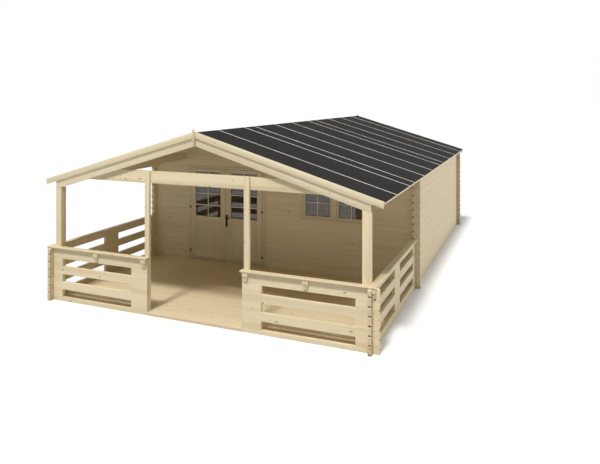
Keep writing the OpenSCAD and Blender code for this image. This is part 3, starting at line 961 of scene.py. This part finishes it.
class Timbers:
    """Gathers solids that don't touch into one piece; each has its own grain frame and tone."""

    def __init__(self, name: str) -> None:
        """Starts an empty piece, with random numbers that follow from its name.

        Args:
            name: The piece's name.
        """
        self.name = name
        self.dice = random.Random(zlib.crc32(name.encode()))
        self.mesh = bmesh.new()
        self.grain = self.mesh.verts.layers.float_vector.new("grain")
        self.tone = self.mesh.verts.layers.float.new("tone")
        self.edge = self.mesh.faces.layers.float.new("edge")

    def settle(self, verts: Sequence[bmesh.types.BMVert], along: Vector, wide: Vector) -> None:
        """Gives one solid its grain frame, its tone and its edge marks.

        Args:
            verts: The solid's points.
            along: The grain's direction.
            wide: The direction across the solid's broad face.
        """
        thin = along.cross(wide)
        centre = sum((v.co for v in verts), Vector()) / len(verts)
        tone, shift = self.dice.random(), self.dice.uniform(0.0, GRAIN_SHIFT)
        for vert in verts:
            arm = vert.co - centre
            vert[self.grain] = Vector((arm.dot(along) + shift, arm.dot(thin), arm.dot(wide)))
            vert[self.tone] = tone
        for face in {f for v in verts for f in v.link_faces}:
            face.normal_update()
            square = max(abs(face.normal.dot(axis)) for axis in (along, wide, thin))
            face[self.edge] = 1.0 if square < SQUARE else 0.0

    def sweep(
        self, sections: Sequence[Sequence[Vector]], along: Vector, wide: Vector,
        closed: bool = False,
    ) -> None:
        """Makes one solid through a row of cross-sections.

        Args:
            sections: Cross-sections with the same number of points each.
            along: The grain's direction.
            wide: The direction across the broad face.
            closed: Whether the last section joins the first.
        """
        rows = [[self.mesh.verts.new(p) for p in section] for section in sections]
        count = len(rows[0])
        pairs = list(zip(rows, rows[1:])) + ([(rows[-1], rows[0])] if closed else [])
        faces = [
            self.mesh.faces.new((near[i], near[(i + 1) % count], far[(i + 1) % count], far[i]))
            for near, far in pairs for i in range(count)
        ]
        if not closed:
            faces += [self.mesh.faces.new(rows[0][::-1]), self.mesh.faces.new(rows[-1])]
        bmesh.ops.recalc_face_normals(self.mesh, faces=faces)
        self.settle([v for row in rows for v in row], along.normalized(), wide.normalized())

    def board(
        self, low: Sequence[float], high: Sequence[float], grain: Grain, chamfer: float,
    ) -> None:
        """Makes one square board with chamfered long edges, its ends a chamfer short.

        Args:
            low: The lowest corner.
            high: The highest corner.
            grain: The direction of its length.
            chamfer: The width of the chamfer, in metres.
        """
        run = AXES[grain]
        one, two = [axis for axis in range(3) if axis != run]
        (left, right), (down, up) = ((low[axis], high[axis]) for axis in (one, two))
        c = chamfer
        ring = (
            (left + c, down), (right - c, down), (right, down + c), (right, up - c),
            (right - c, up), (left + c, up), (left, up - c), (left, down + c),
        )
        sections = []
        for place in (low[run] + c, high[run] - c):
            section = [Vector() for _ in ring]
            for point, (u, v) in zip(section, ring):
                point[run], point[one], point[two] = place, u, v
            sections.append(section)
        along, wide = Vector(), Vector()
        along[run] = 1.0
        wide[one if right - left > up - down else two] = 1.0
        self.sweep(sections, along, wide)

    def copy(
        self, frame: dict, node: str, grain: Grain, eased: float,
        skip: Optional[Callable[[Vector, Vector], bool]] = None,
    ) -> None:
        """Takes over the solids of a CAD node, eases their edges and gives each its grain.

        Args:
            frame: The loaded frame.
            node: The node's name.
            grain: The grain's direction.
            eased: How far sharp edges are eased, in metres.
            skip: Tells from a solid's corners whether it is left out.
        """
        known = set(self.mesh.verts)

        def fresh() -> list[bmesh.types.BMVert]:
            """Returns the points that this node brought."""
            return [v for v in self.mesh.verts if v not in known]

        self.mesh.from_mesh(frame["nodes"][node].data)
        bmesh.ops.remove_doubles(self.mesh, verts=fresh(), dist=WELD)
        verts = fresh()
        edges = list(dict.fromkeys(e for v in verts for e in v.link_edges))
        bmesh.ops.dissolve_limit(
            self.mesh, angle_limit=FLAT, verts=verts, edges=edges, delimit=set(),
        )
        if eased:
            sharp = [
                e for e in self.mesh.edges if e.verts[0] not in known
                and len(e.link_faces) == 2 and e.calc_face_angle(0.0) > FOLD
            ]
            bmesh.ops.bevel(
                self.mesh, geom=sharp, offset=eased, offset_type="OFFSET", segments=2,
                profile=0.5, affect="EDGES", clamp_overlap=True,
            )
        for solid in islands(fresh()):
            low, high = corners(solid)
            if skip and skip(low, high):
                bmesh.ops.delete(self.mesh, geom=solid, context="VERTS")
            else:
                self.settle(solid, *self.directions(low, high, grain))

    @staticmethod
    def directions(low: Vector, high: Vector, grain: Grain) -> tuple[Vector, Vector]:
        """Finds a solid's grain direction and the direction across its broad face.

        Args:
            low: The solid's lowest corner.
            high: The solid's highest corner.
            grain: The grain's direction.

        Returns:
            The two directions, at right angles.
        """
        if grain is Grain.SLOPE:
            side = Side.LEFT if low.x + high.x < 0 else Side.RIGHT
            return side.along, side.up
        size = high - low
        run = AXES[grain] if grain in AXES else max(range(3), key=lambda axis: size[axis])
        broad = max((axis for axis in range(3) if axis != run), key=lambda axis: size[axis])
        along, wide = Vector(), Vector()
        along[run], wide[broad] = 1.0, 1.0
        return along, wide

    def put_in_order(self) -> None:
        """Orders points and faces by place, so that each run writes the same mesh."""
        verts = sorted(self.mesh.verts, key=lambda vert: vert.co[:])
        self.mesh.verts.sort(key={vert: rank for rank, vert in enumerate(verts)}.get)
        faces = sorted(self.mesh.faces, key=lambda face: sorted(v.co[:] for v in face.verts))
        self.mesh.faces.sort(key={face: rank for rank, face in enumerate(faces)}.get)

    def piece(
        self, finish: Finish, body: Body = Body.CABIN, replaces: Sequence[str] = (),
    ) -> None:
        """Turns what was gathered into one finished piece that rides on a body.

        Args:
            finish: The piece's finish.
            body: The body that it moves with.
            replaces: The CAD nodes that it stands for.
        """
        self.put_in_order()
        data = bpy.data.meshes.new(self.name)
        for face in self.mesh.faces:
            face.smooth = True
        self.mesh.to_mesh(data)
        self.mesh.free()
        if "custom_normal" in data.attributes:
            data.attributes.remove(data.attributes["custom_normal"])
        data.set_sharp_from_angle(angle=SHARP)
        data.materials.append(finish.material())
        made = bpy.data.objects.new(self.name, data)
        bpy.context.scene.collection.objects.link(made)
        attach(made, body.value)
        if replaces:
            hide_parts(*replaces)
        LOG.info("%s: %d faces, %s, on %s", self.name, len(data.polygons), finish.name, body.value)


class NailHeads(Timbers):
    """Small domed heads of nails, gathered into one piece."""

    SIDES = 10
    DOME = ((-0.2, 1.0), (0.45, 1.0), (0.85, 0.75), (1.0, 0.35))

    def drive(self, place: Vector, facing: Vector, radius: float, rise: float) -> None:
        """Sets one head.

        Args:
            place: The point on the surface.
            facing: The direction that the surface faces.
            radius: The head's radius.
            rise: How far it stands proud.
        """
        out = facing.normalized()
        one = out.orthogonal().normalized()
        two = out.cross(one)
        turns = [math.tau * k / self.SIDES for k in range(self.SIDES)]
        spokes = [one * math.cos(turn) + two * math.sin(turn) for turn in turns]
        sections = [
            [place + out * (lift * rise) + spoke * radius * share for spoke in spokes]
            for lift, share in self.DOME
        ]
        self.sweep(sections, out, one)


# ---------------------------------------------------------------- sub-assemblies


@dataclass(frozen=True)
class NodeTimber:
    """A CAD node of timbers: their grain and finish, and how far their edges are eased."""

    node: str
    grain: Grain
    finish: PineFinish
    eased: float = 0.0

    def build(self, frame: dict) -> None:
        """Makes one piece from the node's own solids.

        Args:
            frame: The loaded frame.
        """
        timbers = Timbers(f"{self.node}.pine")
        timbers.copy(frame, self.node, self.grain, self.eased)
        timbers.piece(self.finish, replaces=[self.node])


@dataclass
class Carpentry:
    """A sub-assembly with timbers that the CAD gives."""

    frame: dict
    timbers: tuple[NodeTimber, ...] = ()

    def build(self) -> None:
        """Builds and dresses the timbers in order."""
        for timber in self.timbers:
            timber.build(self.frame)


@dataclass
class LogWalls(Carpentry):
    """The notched log walls of the room, and the purlins that they carry."""

    timbers: tuple[NodeTimber, ...] = (
        NodeTimber("front_wall_logs", Grain.ACROSS, SHADE_WALL_PINE),
        NodeTimber("back_wall_logs", Grain.ACROSS, WALL_PINE),
        NodeTimber("left_wall_logs", Grain.DEPTH, WALL_PINE),
        NodeTimber("right_wall_logs", Grain.DEPTH, WALL_PINE),
        NodeTimber("ridge_purlin", Grain.DEPTH, WALL_PINE, BEAM_EASE),
        NodeTimber("side_purlins", Grain.DEPTH, WALL_PINE, BEAM_EASE),
    )


@dataclass
class VerandaRails(Carpentry):
    """The log rails round the veranda, with their blocks, caps and brackets."""

    timbers: tuple[NodeTimber, ...] = (
        NodeTimber("front_rail_logs", Grain.ACROSS, FRONT_LIT_PINE),
        NodeTimber("front_rail_blocks", Grain.ACROSS, FRONT_LIT_PINE),
        NodeTimber("front_rail_caps", Grain.ACROSS, SHADED_CAP_PINE),
        NodeTimber("side_rail_logs", Grain.DEPTH, RAIL_PINE),
        NodeTimber("side_rail_blocks", Grain.DEPTH, RAIL_PINE),
        NodeTimber("side_rail_caps", Grain.DEPTH, SHADED_CAP_PINE),
        NodeTimber("rail_brackets", Grain.UPRIGHT, FRONT_LIT_PINE, BEAM_EASE),
    )


@dataclass
class RoofFrame(Carpentry):
    """Posts, beams, rafters and the boards along the roof's edges."""

    timbers: tuple[NodeTimber, ...] = (
        NodeTimber("corner_posts", Grain.UPRIGHT, FRAME_PINE, FRAME_EASE),
        NodeTimber("entrance_posts", Grain.UPRIGHT, FRAME_PINE, FRAME_EASE),
        NodeTimber("tie_beam", Grain.ACROSS, FRAME_PINE, FRAME_EASE),
        NodeTimber("gable_rafters", Grain.SLOPE, LIT_EDGE_PINE, FRAME_EASE),
        NodeTimber("eave_beams", Grain.DEPTH, FRAME_PINE, FRAME_EASE),
        NodeTimber("front_bargeboards", Grain.SLOPE, LIT_EDGE_PINE, FRAME_EASE),
        NodeTimber("back_bargeboards", Grain.SLOPE, LIT_EDGE_PINE, FRAME_EASE),
        NodeTimber("gable_finials", Grain.UPRIGHT, FRAME_PINE, FRAME_EASE),
        NodeTimber("eave_boards", Grain.DEPTH, FRAME_PINE, FRAME_EASE),
    )


@dataclass
class Slope:
    """One slope of a roof covering, from its box: its reach from the ridge and its thickness."""

    side: Side
    low: Vector
    high: Vector
    inner: float = field(init=False)
    outer: float = field(init=False)
    thick: float = field(init=False)

    def __post_init__(self) -> None:
        """Works out the level reach from the ridge line, and the upright thickness."""
        self.inner, self.outer = sorted((abs(self.low.x), abs(self.high.x)))
        fall = (self.outer - self.inner) * math.tan(ROOF_PITCH)
        self.thick = self.high.z - self.low.z - fall

    def point(self, reach: float, y: float, rise: float) -> Vector:
        """Finds a point over the slope.

        Args:
            reach: Distance from the ridge line, level, in metres.
            y: Place along the roof.
            rise: Height over the covering's top face, straight up.

        Returns:
            The point.
        """
        top = self.high.z - (reach - self.inner) * math.tan(ROOF_PITCH)
        return Vector((self.side.value * reach, y, top + rise))

    def lay(self, piece: Timbers, ring: Sequence[Span], reaches: Sequence[float]) -> None:
        """Runs one cross-section down the slope.

        Args:
            piece: The piece that it goes into.
            ring: The cross-section: places along the roof, and heights over the top face.
            reaches: The distances from the ridge line that it passes through.
        """
        sections = [[self.point(reach, y, rise) for y, rise in ring] for reach in reaches]
        piece.sweep(sections, self.side.along, Y_AXIS)


@dataclass
class RoofCover:
    """The roof's boards, and the felt sheets with their pale laps, nails and back fold."""

    board_width: float = 0.0958
    board_gap: float = 0.0006
    board_groove: float = 0.004
    sheet_gap: float = 0.0003
    sheet_steps: int = 8
    stations: int = 24
    sag: float = 0.0009
    sag_scale: Triple = (2.6, 3.4, 7.0)
    laps: tuple[float, ...] = (
        0.081, 0.186, 0.233, 0.334, 0.433, 0.542, 0.599, 0.703, 0.8135, 0.925,
    )
    lap_width: float = 0.017
    lap_rise: float = 0.0022
    lap_tuck: float = 0.0015
    lap_ease: float = 0.004
    lap_lip: float = 0.5
    nail_pitch: float = 0.105
    nail_start: float = 0.04
    nail_stop: float = 0.06
    nail_shift: float = 0.004
    nail_radius: float = 0.004
    nail_rise: float = 0.0012
    fold_width: float = 0.10
    fold_inset: float = 0.0005
    fold_lip: float = 0.6

    def build(self) -> None:
        """Covers both slopes."""
        for side in Side:
            self.build_boards(side)
            self.build_felt(side)

    def build_boards(self, side: Side) -> None:
        """Lays boards from ridge to eave on one slope, grooved on their undersides.

        Args:
            side: The slope.
        """
        node = f"{side.word}_roof_deck"
        slope = Slope(side, *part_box(node))
        length = slope.high.y - slope.low.y
        count = round(length / self.board_width)
        width, drop, groove = length / count, slope.thick, self.board_groove
        boards = Timbers(f"{side.word}_roof_boards")
        for number in range(count):
            start = slope.low.y + number * width
            end = start + width - self.board_gap
            ring = (
                (start, 0.0), (end, 0.0), (end, -drop + groove), (end - groove, -drop),
                (start + groove, -drop), (start, -drop + groove),
            )
            slope.lay(boards, ring, (slope.inner, slope.outer))
        boards.piece(DECK_PINE, replaces=[node])

    def build_felt(self, side: Side) -> None:
        """Lays the felt of one slope.

        Args:
            side: The slope.
        """
        node = f"{side.word}_roof_felt"
        slope = Slope(side, *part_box(node))
        width = slope.outer - slope.inner
        reaches = [slope.inner + width * k / self.stations for k in range(self.stations + 1)]
        lines = [slope.low.y + share * (slope.high.y - slope.low.y) for share in self.laps]
        self.build_sheets(slope, node, reaches, lines)
        self.build_laps(slope, reaches, lines)
        self.build_fold(slope, reaches)

    def build_sheets(
        self, slope: Slope, node: str, reaches: Sequence[float], lines: Sequence[float],
    ) -> None:
        """Lays the sheets, which sag a little between the laps.

        Args:
            slope: The slope.
            node: The CAD node that the sheets stand for.
            reaches: Distances from the ridge line.
            lines: The Y of each lap.
        """
        sheets = Timbers(f"{slope.side.word}_felt_sheets")
        by_reach, by_y, by_side = self.sag_scale
        ends = [slope.low.y, *lines, slope.high.y]
        for start, end in zip(ends, ends[1:]):
            clear = end - start - 2 * self.sheet_gap
            steps = [
                start + self.sheet_gap + clear * k / self.sheet_steps
                for k in range(self.sheet_steps + 1)
            ]
            sections = []
            for reach in reaches:
                sags = [
                    self.sag * noise.noise((reach * by_reach, y * by_y, slope.side.value * by_side))
                    - self.sag for y in steps
                ]
                ring = [*zip(steps, sags), (steps[-1], -slope.thick), (steps[0], -slope.thick)]
                sections.append([slope.point(reach, y, rise) for y, rise in ring])
            sheets.sweep(sections, slope.side.along, Y_AXIS)
        sheets.piece(ROOF_FELT, replaces=[node])

    def build_laps(
        self, slope: Slope, reaches: Sequence[float], lines: Sequence[float],
    ) -> None:
        """Lays the pale laps, and nails each along both of its edges by turns.

        Args:
            slope: The slope.
            reaches: Distances from the ridge line.
            lines: The Y of each lap.
        """
        laps = Timbers(f"{slope.side.word}_felt_laps")
        nails = NailHeads(f"{slope.side.word}_felt_nails")
        half, rise, tuck, ease = self.lap_width / 2, self.lap_rise, self.lap_tuck, self.lap_ease
        lip = rise * self.lap_lip
        ring = (
            (-half, -tuck), (half, -tuck), (half, lip), (half - ease, rise),
            (-half + ease, rise), (-half, lip),
        )
        nailed = slope.outer - slope.inner - self.nail_stop
        for y in lines:
            slope.lay(laps, [(y + shift, lift) for shift, lift in ring], reaches)
            for number in range(int(nailed / self.nail_pitch)):
                reach = slope.inner + self.nail_start + number * self.nail_pitch
                shift = self.nail_shift if number % 2 else -self.nail_shift
                place = slope.point(reach, y + shift, rise)
                nails.drive(place, slope.side.up, self.nail_radius, self.nail_rise)
        laps.piece(LAP_FELT)
        nails.piece(NAIL_METAL)

    def build_fold(self, slope: Slope, reaches: Sequence[float]) -> None:
        """Lays the dark fold of felt along the back edge.

        Args:
            slope: The slope.
            reaches: Distances from the ridge line.
        """
        fold = Timbers(f"{slope.side.word}_felt_fold")
        start, end = slope.high.y - self.fold_width, slope.high.y - self.fold_inset
        rise, tuck, ease = self.lap_rise, self.lap_tuck, self.lap_ease
        ring = (
            (start, -tuck), (end, -tuck), (end, rise * self.fold_lip), (end - ease, rise),
            (start + ease, rise), (start, rise * self.lap_lip),
        )
        slope.lay(fold, ring, reaches)
        fold.piece(FOLD_FELT)


@dataclass
class Floors(Carpentry):
    """The plank floors of the veranda and the room, on their bearers."""

    timbers: tuple[NodeTimber, ...] = (
        NodeTimber("floor_bearers", Grain.DEPTH, FLOOR_PINE, BEAM_EASE),
        NodeTimber("entrance_sill", Grain.ACROSS, FRONT_LIT_PINE, BEAM_EASE),
    )
    plank_width: float = 0.0945
    plank_gap: float = 0.0005
    chamfer: float = 0.0007
    nail_inset: float = 0.018
    nail_radius: float = 0.0038
    nail_rise: float = 0.0007

    def build(self) -> None:
        """Lays and nails the planks, then builds the bearers and the sill."""
        boxes = solid_boxes(self.frame, "floor_bearers")
        bearers = sorted({round((low.x + high.x) / 2, 3) for low, high in boxes})
        nails = NailHeads("floor_nails")
        for node in ("veranda_floor", "cabin_floor"):
            self.build_planks(node, bearers, nails)
        nails.piece(NAIL_METAL)
        super().build()

    def build_planks(self, node: str, bearers: Sequence[float], nails: NailHeads) -> None:
        """Lays one floor's planks, with two nails over each bearer.

        Args:
            node: The CAD node of the floor.
            bearers: The X of each bearer's middle.
            nails: The piece that the nails go into.
        """
        low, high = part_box(node)
        count = round((high.y - low.y) / self.plank_width)
        width = (high.y - low.y) / count
        planks = Timbers(f"{node}_planks")
        for number in range(count):
            start = low.y + number * width + self.plank_gap / 2
            end = start + width - self.plank_gap
            planks.board(
                (low.x, start, low.z), (high.x, end, high.z), Grain.ACROSS, self.chamfer,
            )
            for x in bearers:
                for y in (start + self.nail_inset, end - self.nail_inset):
                    place = Vector((x, y, high.z))
                    nails.drive(place, Z_AXIS, self.nail_radius, self.nail_rise)
        planks.piece(FLOOR_PINE, replaces=[node])


@dataclass
class Glazing:
    """Beads and bars on both faces of a pane, and dark seal strips on its outer face: painted shade
    lines beside the bars and beads.
    """

    bar_width: float = 0.016
    bar_depth: float = 0.012
    bead_width: float = 0.009
    bead_depth: float = 0.013
    seal_width: float = 0.006
    seal_depth: float = 0.004
    slack: float = 0.0003
    bar_profile: tuple[Span, ...] = (
        (-1.0, 0.0), (1.0, 0.0), (1.0, 0.45), (0.45, 0.92),
        (0.3, 1.0), (-0.3, 1.0), (-0.45, 0.92), (-1.0, 0.45),
    )
    bead_profile: tuple[Span, ...] = ((1.0, 0.0), (1.0, 0.3), (0.72, 0.78), (0.35, 1.0))

    def dress(
        self, timbers: Timbers, bars: Timbers, shade_seals: Timbers, pane: tuple[Vector, Vector],
        rows: Sequence[float],
    ) -> None:
        """Dresses one pane, with one upright bar in its middle.

        Args:
            timbers: The piece that the beads go into.
            bars: The piece that the bars go into.
            shade_seals: The piece that the dark strips of painted shade go into.
            pane: The pane's lowest and highest corner.
            rows: The Z of each level bar.
        """
        low, high = pane
        middle = (low.x + high.x) / 2
        bottom, top = low.z + self.bead_width, high.z - self.bead_width
        widths = self.lights((low.x, middle, high.x))
        for face, out in ((low.y, -1.0), (high.y, 1.0)):
            y = face + out * self.slack
            self.bead(timbers, low, high, y, out)
            self.bar(bars, Vector((middle, y, bottom)), Vector((middle, y, top)), out)
            for z in rows:
                for start, end in widths:
                    self.bar(bars, Vector((start, y, z)), Vector((end, y, z)), out)
        # The seals are dark strips round each light, on the outer face: painted shade lines beside
        # the bars and beads.
        lip = Glazing(bead_width=self.seal_width, bead_depth=self.seal_depth, slack=0.0)
        for left, right in widths:
            for down, up in self.lights((low.z, *rows, high.z)):
                corner, other = Vector((left, 0.0, down)), Vector((right, 0.0, up))
                lip.bead(shade_seals, corner, other, low.y - self.slack, -1.0)

    def lights(self, lines: Sequence[float]) -> list[Span]:
        """Finds the clear glass between a pane's edges and the bars across it.

        Args:
            lines: One edge, the middle of each bar, and the other edge.

        Returns:
            Where each light starts and ends.
        """
        edge, half = self.bead_width + self.slack, self.bar_width / 2 + self.slack
        trims = [edge, *[half] * (len(lines) - 2), edge]
        starts = [line + trim for line, trim in zip(lines, trims)]
        ends = [line - trim for line, trim in zip(lines, trims)]
        return list(zip(starts, ends[1:]))

    def bar(self, timbers: Timbers, start: Vector, end: Vector, out: float) -> None:
        """Makes one moulded bar that stands on a pane's face.

        Args:
            timbers: The piece that it goes into.
            start: The middle of its foot at one end.
            end: The middle of its foot at the other end.
            out: The sign of Y that the face looks to.
        """
        along = (end - start).normalized()
        side = along.cross(Y_AXIS * out)
        ring = [(self.bar_width / 2 * u, self.bar_depth * v) for u, v in self.bar_profile]
        timbers.sweep([
            [foot + side * u + Y_AXIS * (out * v) for u, v in ring] for foot in (start, end)
        ], along, side)

    def bead(self, timbers: Timbers, low: Vector, high: Vector, face: float, out: float) -> None:
        """Makes one mitred bead round a pane.

        Args:
            timbers: The piece that it goes into.
            low: The pane's lowest corner.
            high: The pane's highest corner.
            face: The Y that the bead stands on.
            out: The sign of Y that the face looks to.
        """
        moulding = [(self.bead_width * u, self.bead_depth * v) for u, v in self.bead_profile]
        ring = [(self.slack, 0.0), *moulding, (self.slack, self.bead_depth)]
        mitres = (
            (low.x, low.z, 1.0, 1.0), (high.x, low.z, -1.0, 1.0),
            (high.x, high.z, -1.0, -1.0), (low.x, high.z, 1.0, -1.0),
        )
        timbers.sweep([
            [Vector((x + right * u, face + out * v, z + up * u)) for u, v in ring]
            for x, z, right, up in mitres
        ], X_AXIS, Z_AXIS, closed=True)


@dataclass
class DoubleDoor(Carpentry):
    """The two part-glazed door leaves, their frame and ironmongery."""

    timbers: tuple[NodeTimber, ...] = (
        NodeTimber("door_jambs", Grain.UPRIGHT, JOINERY_PINE, JOINERY_EASE),
        NodeTimber("door_head", Grain.ACROSS, JOINERY_PINE, JOINERY_EASE),
        NodeTimber("door_threshold", Grain.ACROSS, JOINERY_PINE, JOINERY_EASE),
    )
    glazing: Glazing = field(default_factory=Glazing)
    panel_bead: Glazing = field(
        default_factory=lambda: Glazing(bead_width=0.014, bead_depth=0.007),
    )
    rows: tuple[float, ...] = (1.066, 1.279, 1.485)
    boards: int = 6
    board_gap: float = 0.0004
    groove: float = 0.0008
    eased: float = 0.003
    panel_thick: float = 0.030

    def build(self) -> None:
        """Builds the frame and both leaves, and dresses what keeps its shape."""
        super().build()
        for side, body in (("left", Body.LEFT_DOOR), ("right", Body.RIGHT_DOOR)):
            self.build_leaf(side, body)
        self.dress()

    def build_leaf(self, side: str, body: Body) -> None:
        """Builds one leaf: stiles and rails, the boarded panel, beads, bars, and dark seal strips
        of painted shade.

        Args:
            side: The leaf's side, as its nodes say it.
            body: The body that the leaf moves with.
        """
        node = f"{side}_door_leaf"
        leaf = Timbers(f"{node}.pine")
        panels: list[tuple[Vector, Vector]] = []

        def is_panel(low: Vector, high: Vector) -> bool:
            """Tells the thin panel from the stiles and rails, and keeps its corners.

            Args:
                low: The solid's lowest corner.
                high: The solid's highest corner.

            Returns:
                Whether the solid is the panel.
            """
            thin = high.y - low.y < self.panel_thick
            if thin:
                panels.append((low, high))
            return thin

        leaf.copy(self.frame, node, Grain.ALONG, self.eased, skip=is_panel)
        for panel in panels:
            self.build_panel(leaf, *panel)
        bars, shade_seals = Timbers(f"{side}_door_bars"), Timbers(f"{side}_door_seals")
        self.glazing.dress(leaf, bars, shade_seals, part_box(f"{side}_door_glass"), self.rows)
        leaf.piece(JOINERY_PINE, body, replaces=[node])
        bars.piece(HIGHLIGHT_BAR_PINE, body)
        shade_seals.piece(SHADE_SEAL, body)

    def build_panel(self, leaf: Timbers, low: Vector, high: Vector) -> None:
        """Boards one lower panel, with a bead round each face.

        Args:
            leaf: The piece that it goes into.
            low: The panel's lowest corner.
            high: The panel's highest corner.
        """
        width = (high.x - low.x) / self.boards
        for number in range(self.boards):
            start = low.x + number * width
            end = start + width - self.board_gap
            leaf.board(
                (start, low.y, low.z), (end, high.y, high.z), Grain.UPRIGHT, self.groove,
            )
        for face, out in ((low.y, -1.0), (high.y, 1.0)):
            self.panel_bead.bead(leaf, low, high, face + out * self.panel_bead.slack, out)

    def dress(self) -> None:
        """Puts finishes on the glass, the hinges and the handle, which keep their shapes."""
        for node in ("left_door_glass", "right_door_glass"):
            dress_node(self.frame, node, PANE_GLASS)
        for node in ("frame_hinges", "left_leaf_hinges", "right_leaf_hinges"):
            dress_node(self.frame, node, HINGE_METAL)
        dress_node(self.frame, "door_handle", BLACK_METAL)


@dataclass
class PairWindow(Carpentry):
    """The window of two casements in one frame."""

    timbers: tuple[NodeTimber, ...] = (
        NodeTimber("window_frame", Grain.ALONG, JOINERY_PINE, FRAME_EASE),
    )
    glazing: Glazing = field(default_factory=Glazing)
    rows: tuple[float, ...] = (1.251, 1.471)
    eased: float = FRAME_EASE

    def build(self) -> None:
        """Builds the frame, the casements and their bars, and dresses the glass."""
        super().build()
        sashes = Timbers("window_casements.pine")
        sashes.copy(self.frame, "window_casements", Grain.ALONG, self.eased)
        # the seals are dark strips of painted shade beside the bars
        bars, shade_seals = Timbers("window_bars"), Timbers("window_seals")
        for pane in solid_boxes(self.frame, "window_glass"):
            self.glazing.dress(sashes, bars, shade_seals, pane, self.rows)
        sashes.piece(JOINERY_PINE, replaces=["window_casements"])
        bars.piece(HIGHLIGHT_BAR_PINE)
        shade_seals.piece(SHADE_SEAL)
        dress_node(self.frame, "window_glass", PANE_GLASS)


# ---------------------------------------------------------------- studio


@dataclass(frozen=True)
class Lamp:
    """A soft, far lamp: its strength, and its width, height and turn from the front in degrees."""

    name: str
    strength: float
    width: float
    height: float
    turn: float
    colour: Triple = (1.0, 0.995, 0.985)

    def build(self) -> None:
        """Hangs the lamp as a sun."""
        data = bpy.data.lights.new(self.name, "SUN")
        data.energy = self.strength
        data.angle = math.radians(self.width)
        data.color = self.colour
        lamp = bpy.data.objects.new(self.name, data)
        lamp.rotation_euler = (math.radians(90.0 - self.height), 0.0, math.radians(self.turn))
        bpy.context.scene.collection.objects.link(lamp)


@dataclass
class Studio:
    """The pale floor, the soft light and the camera of the photograph."""

    floor_size: float = 400.0
    floor_drop: float = 0.0008
    floor_rough: float = 0.95
    floor_seen: Colour = (0.945, 0.965, 1.0, 1.0)
    floor_bounce: Colour = (0.50, 0.50, 0.50, 1.0)
    sky_colour: Colour = (1.0, 1.0, 1.0, 1.0)
    overhead: Span = (0.58, 0.90)
    low_sky: float = 0.07
    high_sky: float = 1.05
    skyline: Span = (0.30, 0.04)
    horizon: float = 0.40
    back_to_front: Span = (0.6, -0.6)
    back_share: float = 0.35
    front_share: float = 1.30
    lamps: tuple[Lamp, ...] = (
        Lamp("front_sun", 2.22, 8.0, 61.5, -3.0),
        Lamp("right_fill", 1.33, 14.0, 6.0, 138.0),
    )
    camera_place: Triple = (4.3264, -10.6817, 3.0593)
    camera_turn: float = math.radians(22.4815)
    lens: float = 35.1985
    sensor: float = 36.0
    shift: Span = (0.00652, -0.22478)
    farthest: float = 500.0

    def build(self) -> None:
        """Builds the floor, the light and the camera."""
        self.build_floor()
        self.build_light()
        self.build_camera()

    def build_floor(self) -> None:
        """Lays the pale floor, which keeps the cabin's shadow."""
        mesh = bmesh.new()
        bmesh.ops.create_grid(mesh, x_segments=2, y_segments=2, size=self.floor_size / 2)
        data = bpy.data.meshes.new("studio_floor")
        mesh.to_mesh(data)
        mesh.free()
        floor = bpy.data.objects.new("studio_floor", data)
        floor.location.z = -self.floor_drop
        bpy.context.scene.collection.objects.link(floor)
        paper = bpy.data.materials.new("pale floor")
        paper.use_nodes = True
        graph = Graph(paper.node_tree)
        graph.fill(paper.node_tree.nodes["Principled BSDF"], {
            "Base Color": graph.mix(self.seen(graph), self.floor_bounce, self.floor_seen),
            "Roughness": self.floor_rough,
            "Specular IOR Level": 0.0,
        })
        data.materials.append(paper)

    @staticmethod
    def seen(graph: Graph) -> Socket:
        """Tells the rays of light that make up the picture from those that light the cabin.

        Args:
            graph: The floor's or the world's graph.

        Returns:
            1 for a ray from the camera, or that reaches it by mirror or glass, and otherwise 0.
        """
        path = graph.node("ShaderNodeLightPath").outputs
        direct = graph.math("MAXIMUM", path["Is Camera Ray"], path["Is Glossy Ray"])
        return graph.math("MAXIMUM", direct, path["Is Transmission Ray"])

    def build_light(self) -> None:
        """Sets a surround that is white to the eye, and lights most from overhead and in front."""
        world = bpy.data.worlds.new("studio")
        bpy.context.scene.world = world
        world.use_nodes = True
        graph = Graph(world.node_tree)
        outward = graph.node("ShaderNodeTexCoord").outputs["Generated"]
        way = graph.node("ShaderNodeSeparateXYZ", {"Vector": outward}).outputs
        above = graph.fade(way[2], *self.overhead, self.low_sky, self.high_sky)
        below = graph.fade(way[2], *self.skyline, 0.0, self.horizon)
        share = graph.fade(way[1], *self.back_to_front, self.back_share, self.front_share)
        sky = graph.math("MULTIPLY", graph.math("ADD", above, below), share)
        graph.fill(world.node_tree.nodes["Background"], {
            "Color": self.sky_colour,
            "Strength": graph.fade(self.seen(graph), 0.0, 1.0, sky, 1.0),
        })
        for lamp in self.lamps:
            lamp.build()

    def build_camera(self) -> None:
        """Sets the camera where the photograph was taken, level, with its lens shifted down."""
        data = bpy.data.cameras.new("camera")
        data.lens = self.lens
        data.sensor_width = self.sensor
        data.shift_x, data.shift_y = self.shift
        data.clip_end = self.farthest
        camera = bpy.data.objects.new("camera", data)
        camera.location = self.camera_place
        camera.rotation_euler = (math.pi / 2, 0.0, self.camera_turn)
        bpy.context.scene.collection.objects.link(camera)
        bpy.context.scene.camera = camera


def main() -> None:
    """Loads the frame, builds the cabin's sub-assemblies in order, and the studio."""
    logging.basicConfig(level=logging.INFO, format="%(name)s: %(message)s")
    for leftover in list(bpy.data.objects):
        bpy.data.objects.remove(leftover)
    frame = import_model()
    bpy.context.scene.view_settings.view_transform = "Standard"
    for assembly in (
        LogWalls(frame), VerandaRails(frame), RoofFrame(frame), RoofCover(), Floors(frame),
        DoubleDoor(frame), PairWindow(frame),
    ):
        assembly.build()
        LOG.info("%s built", type(assembly).__name__)
    Studio().build()


if __name__ == "__main__":
    main()
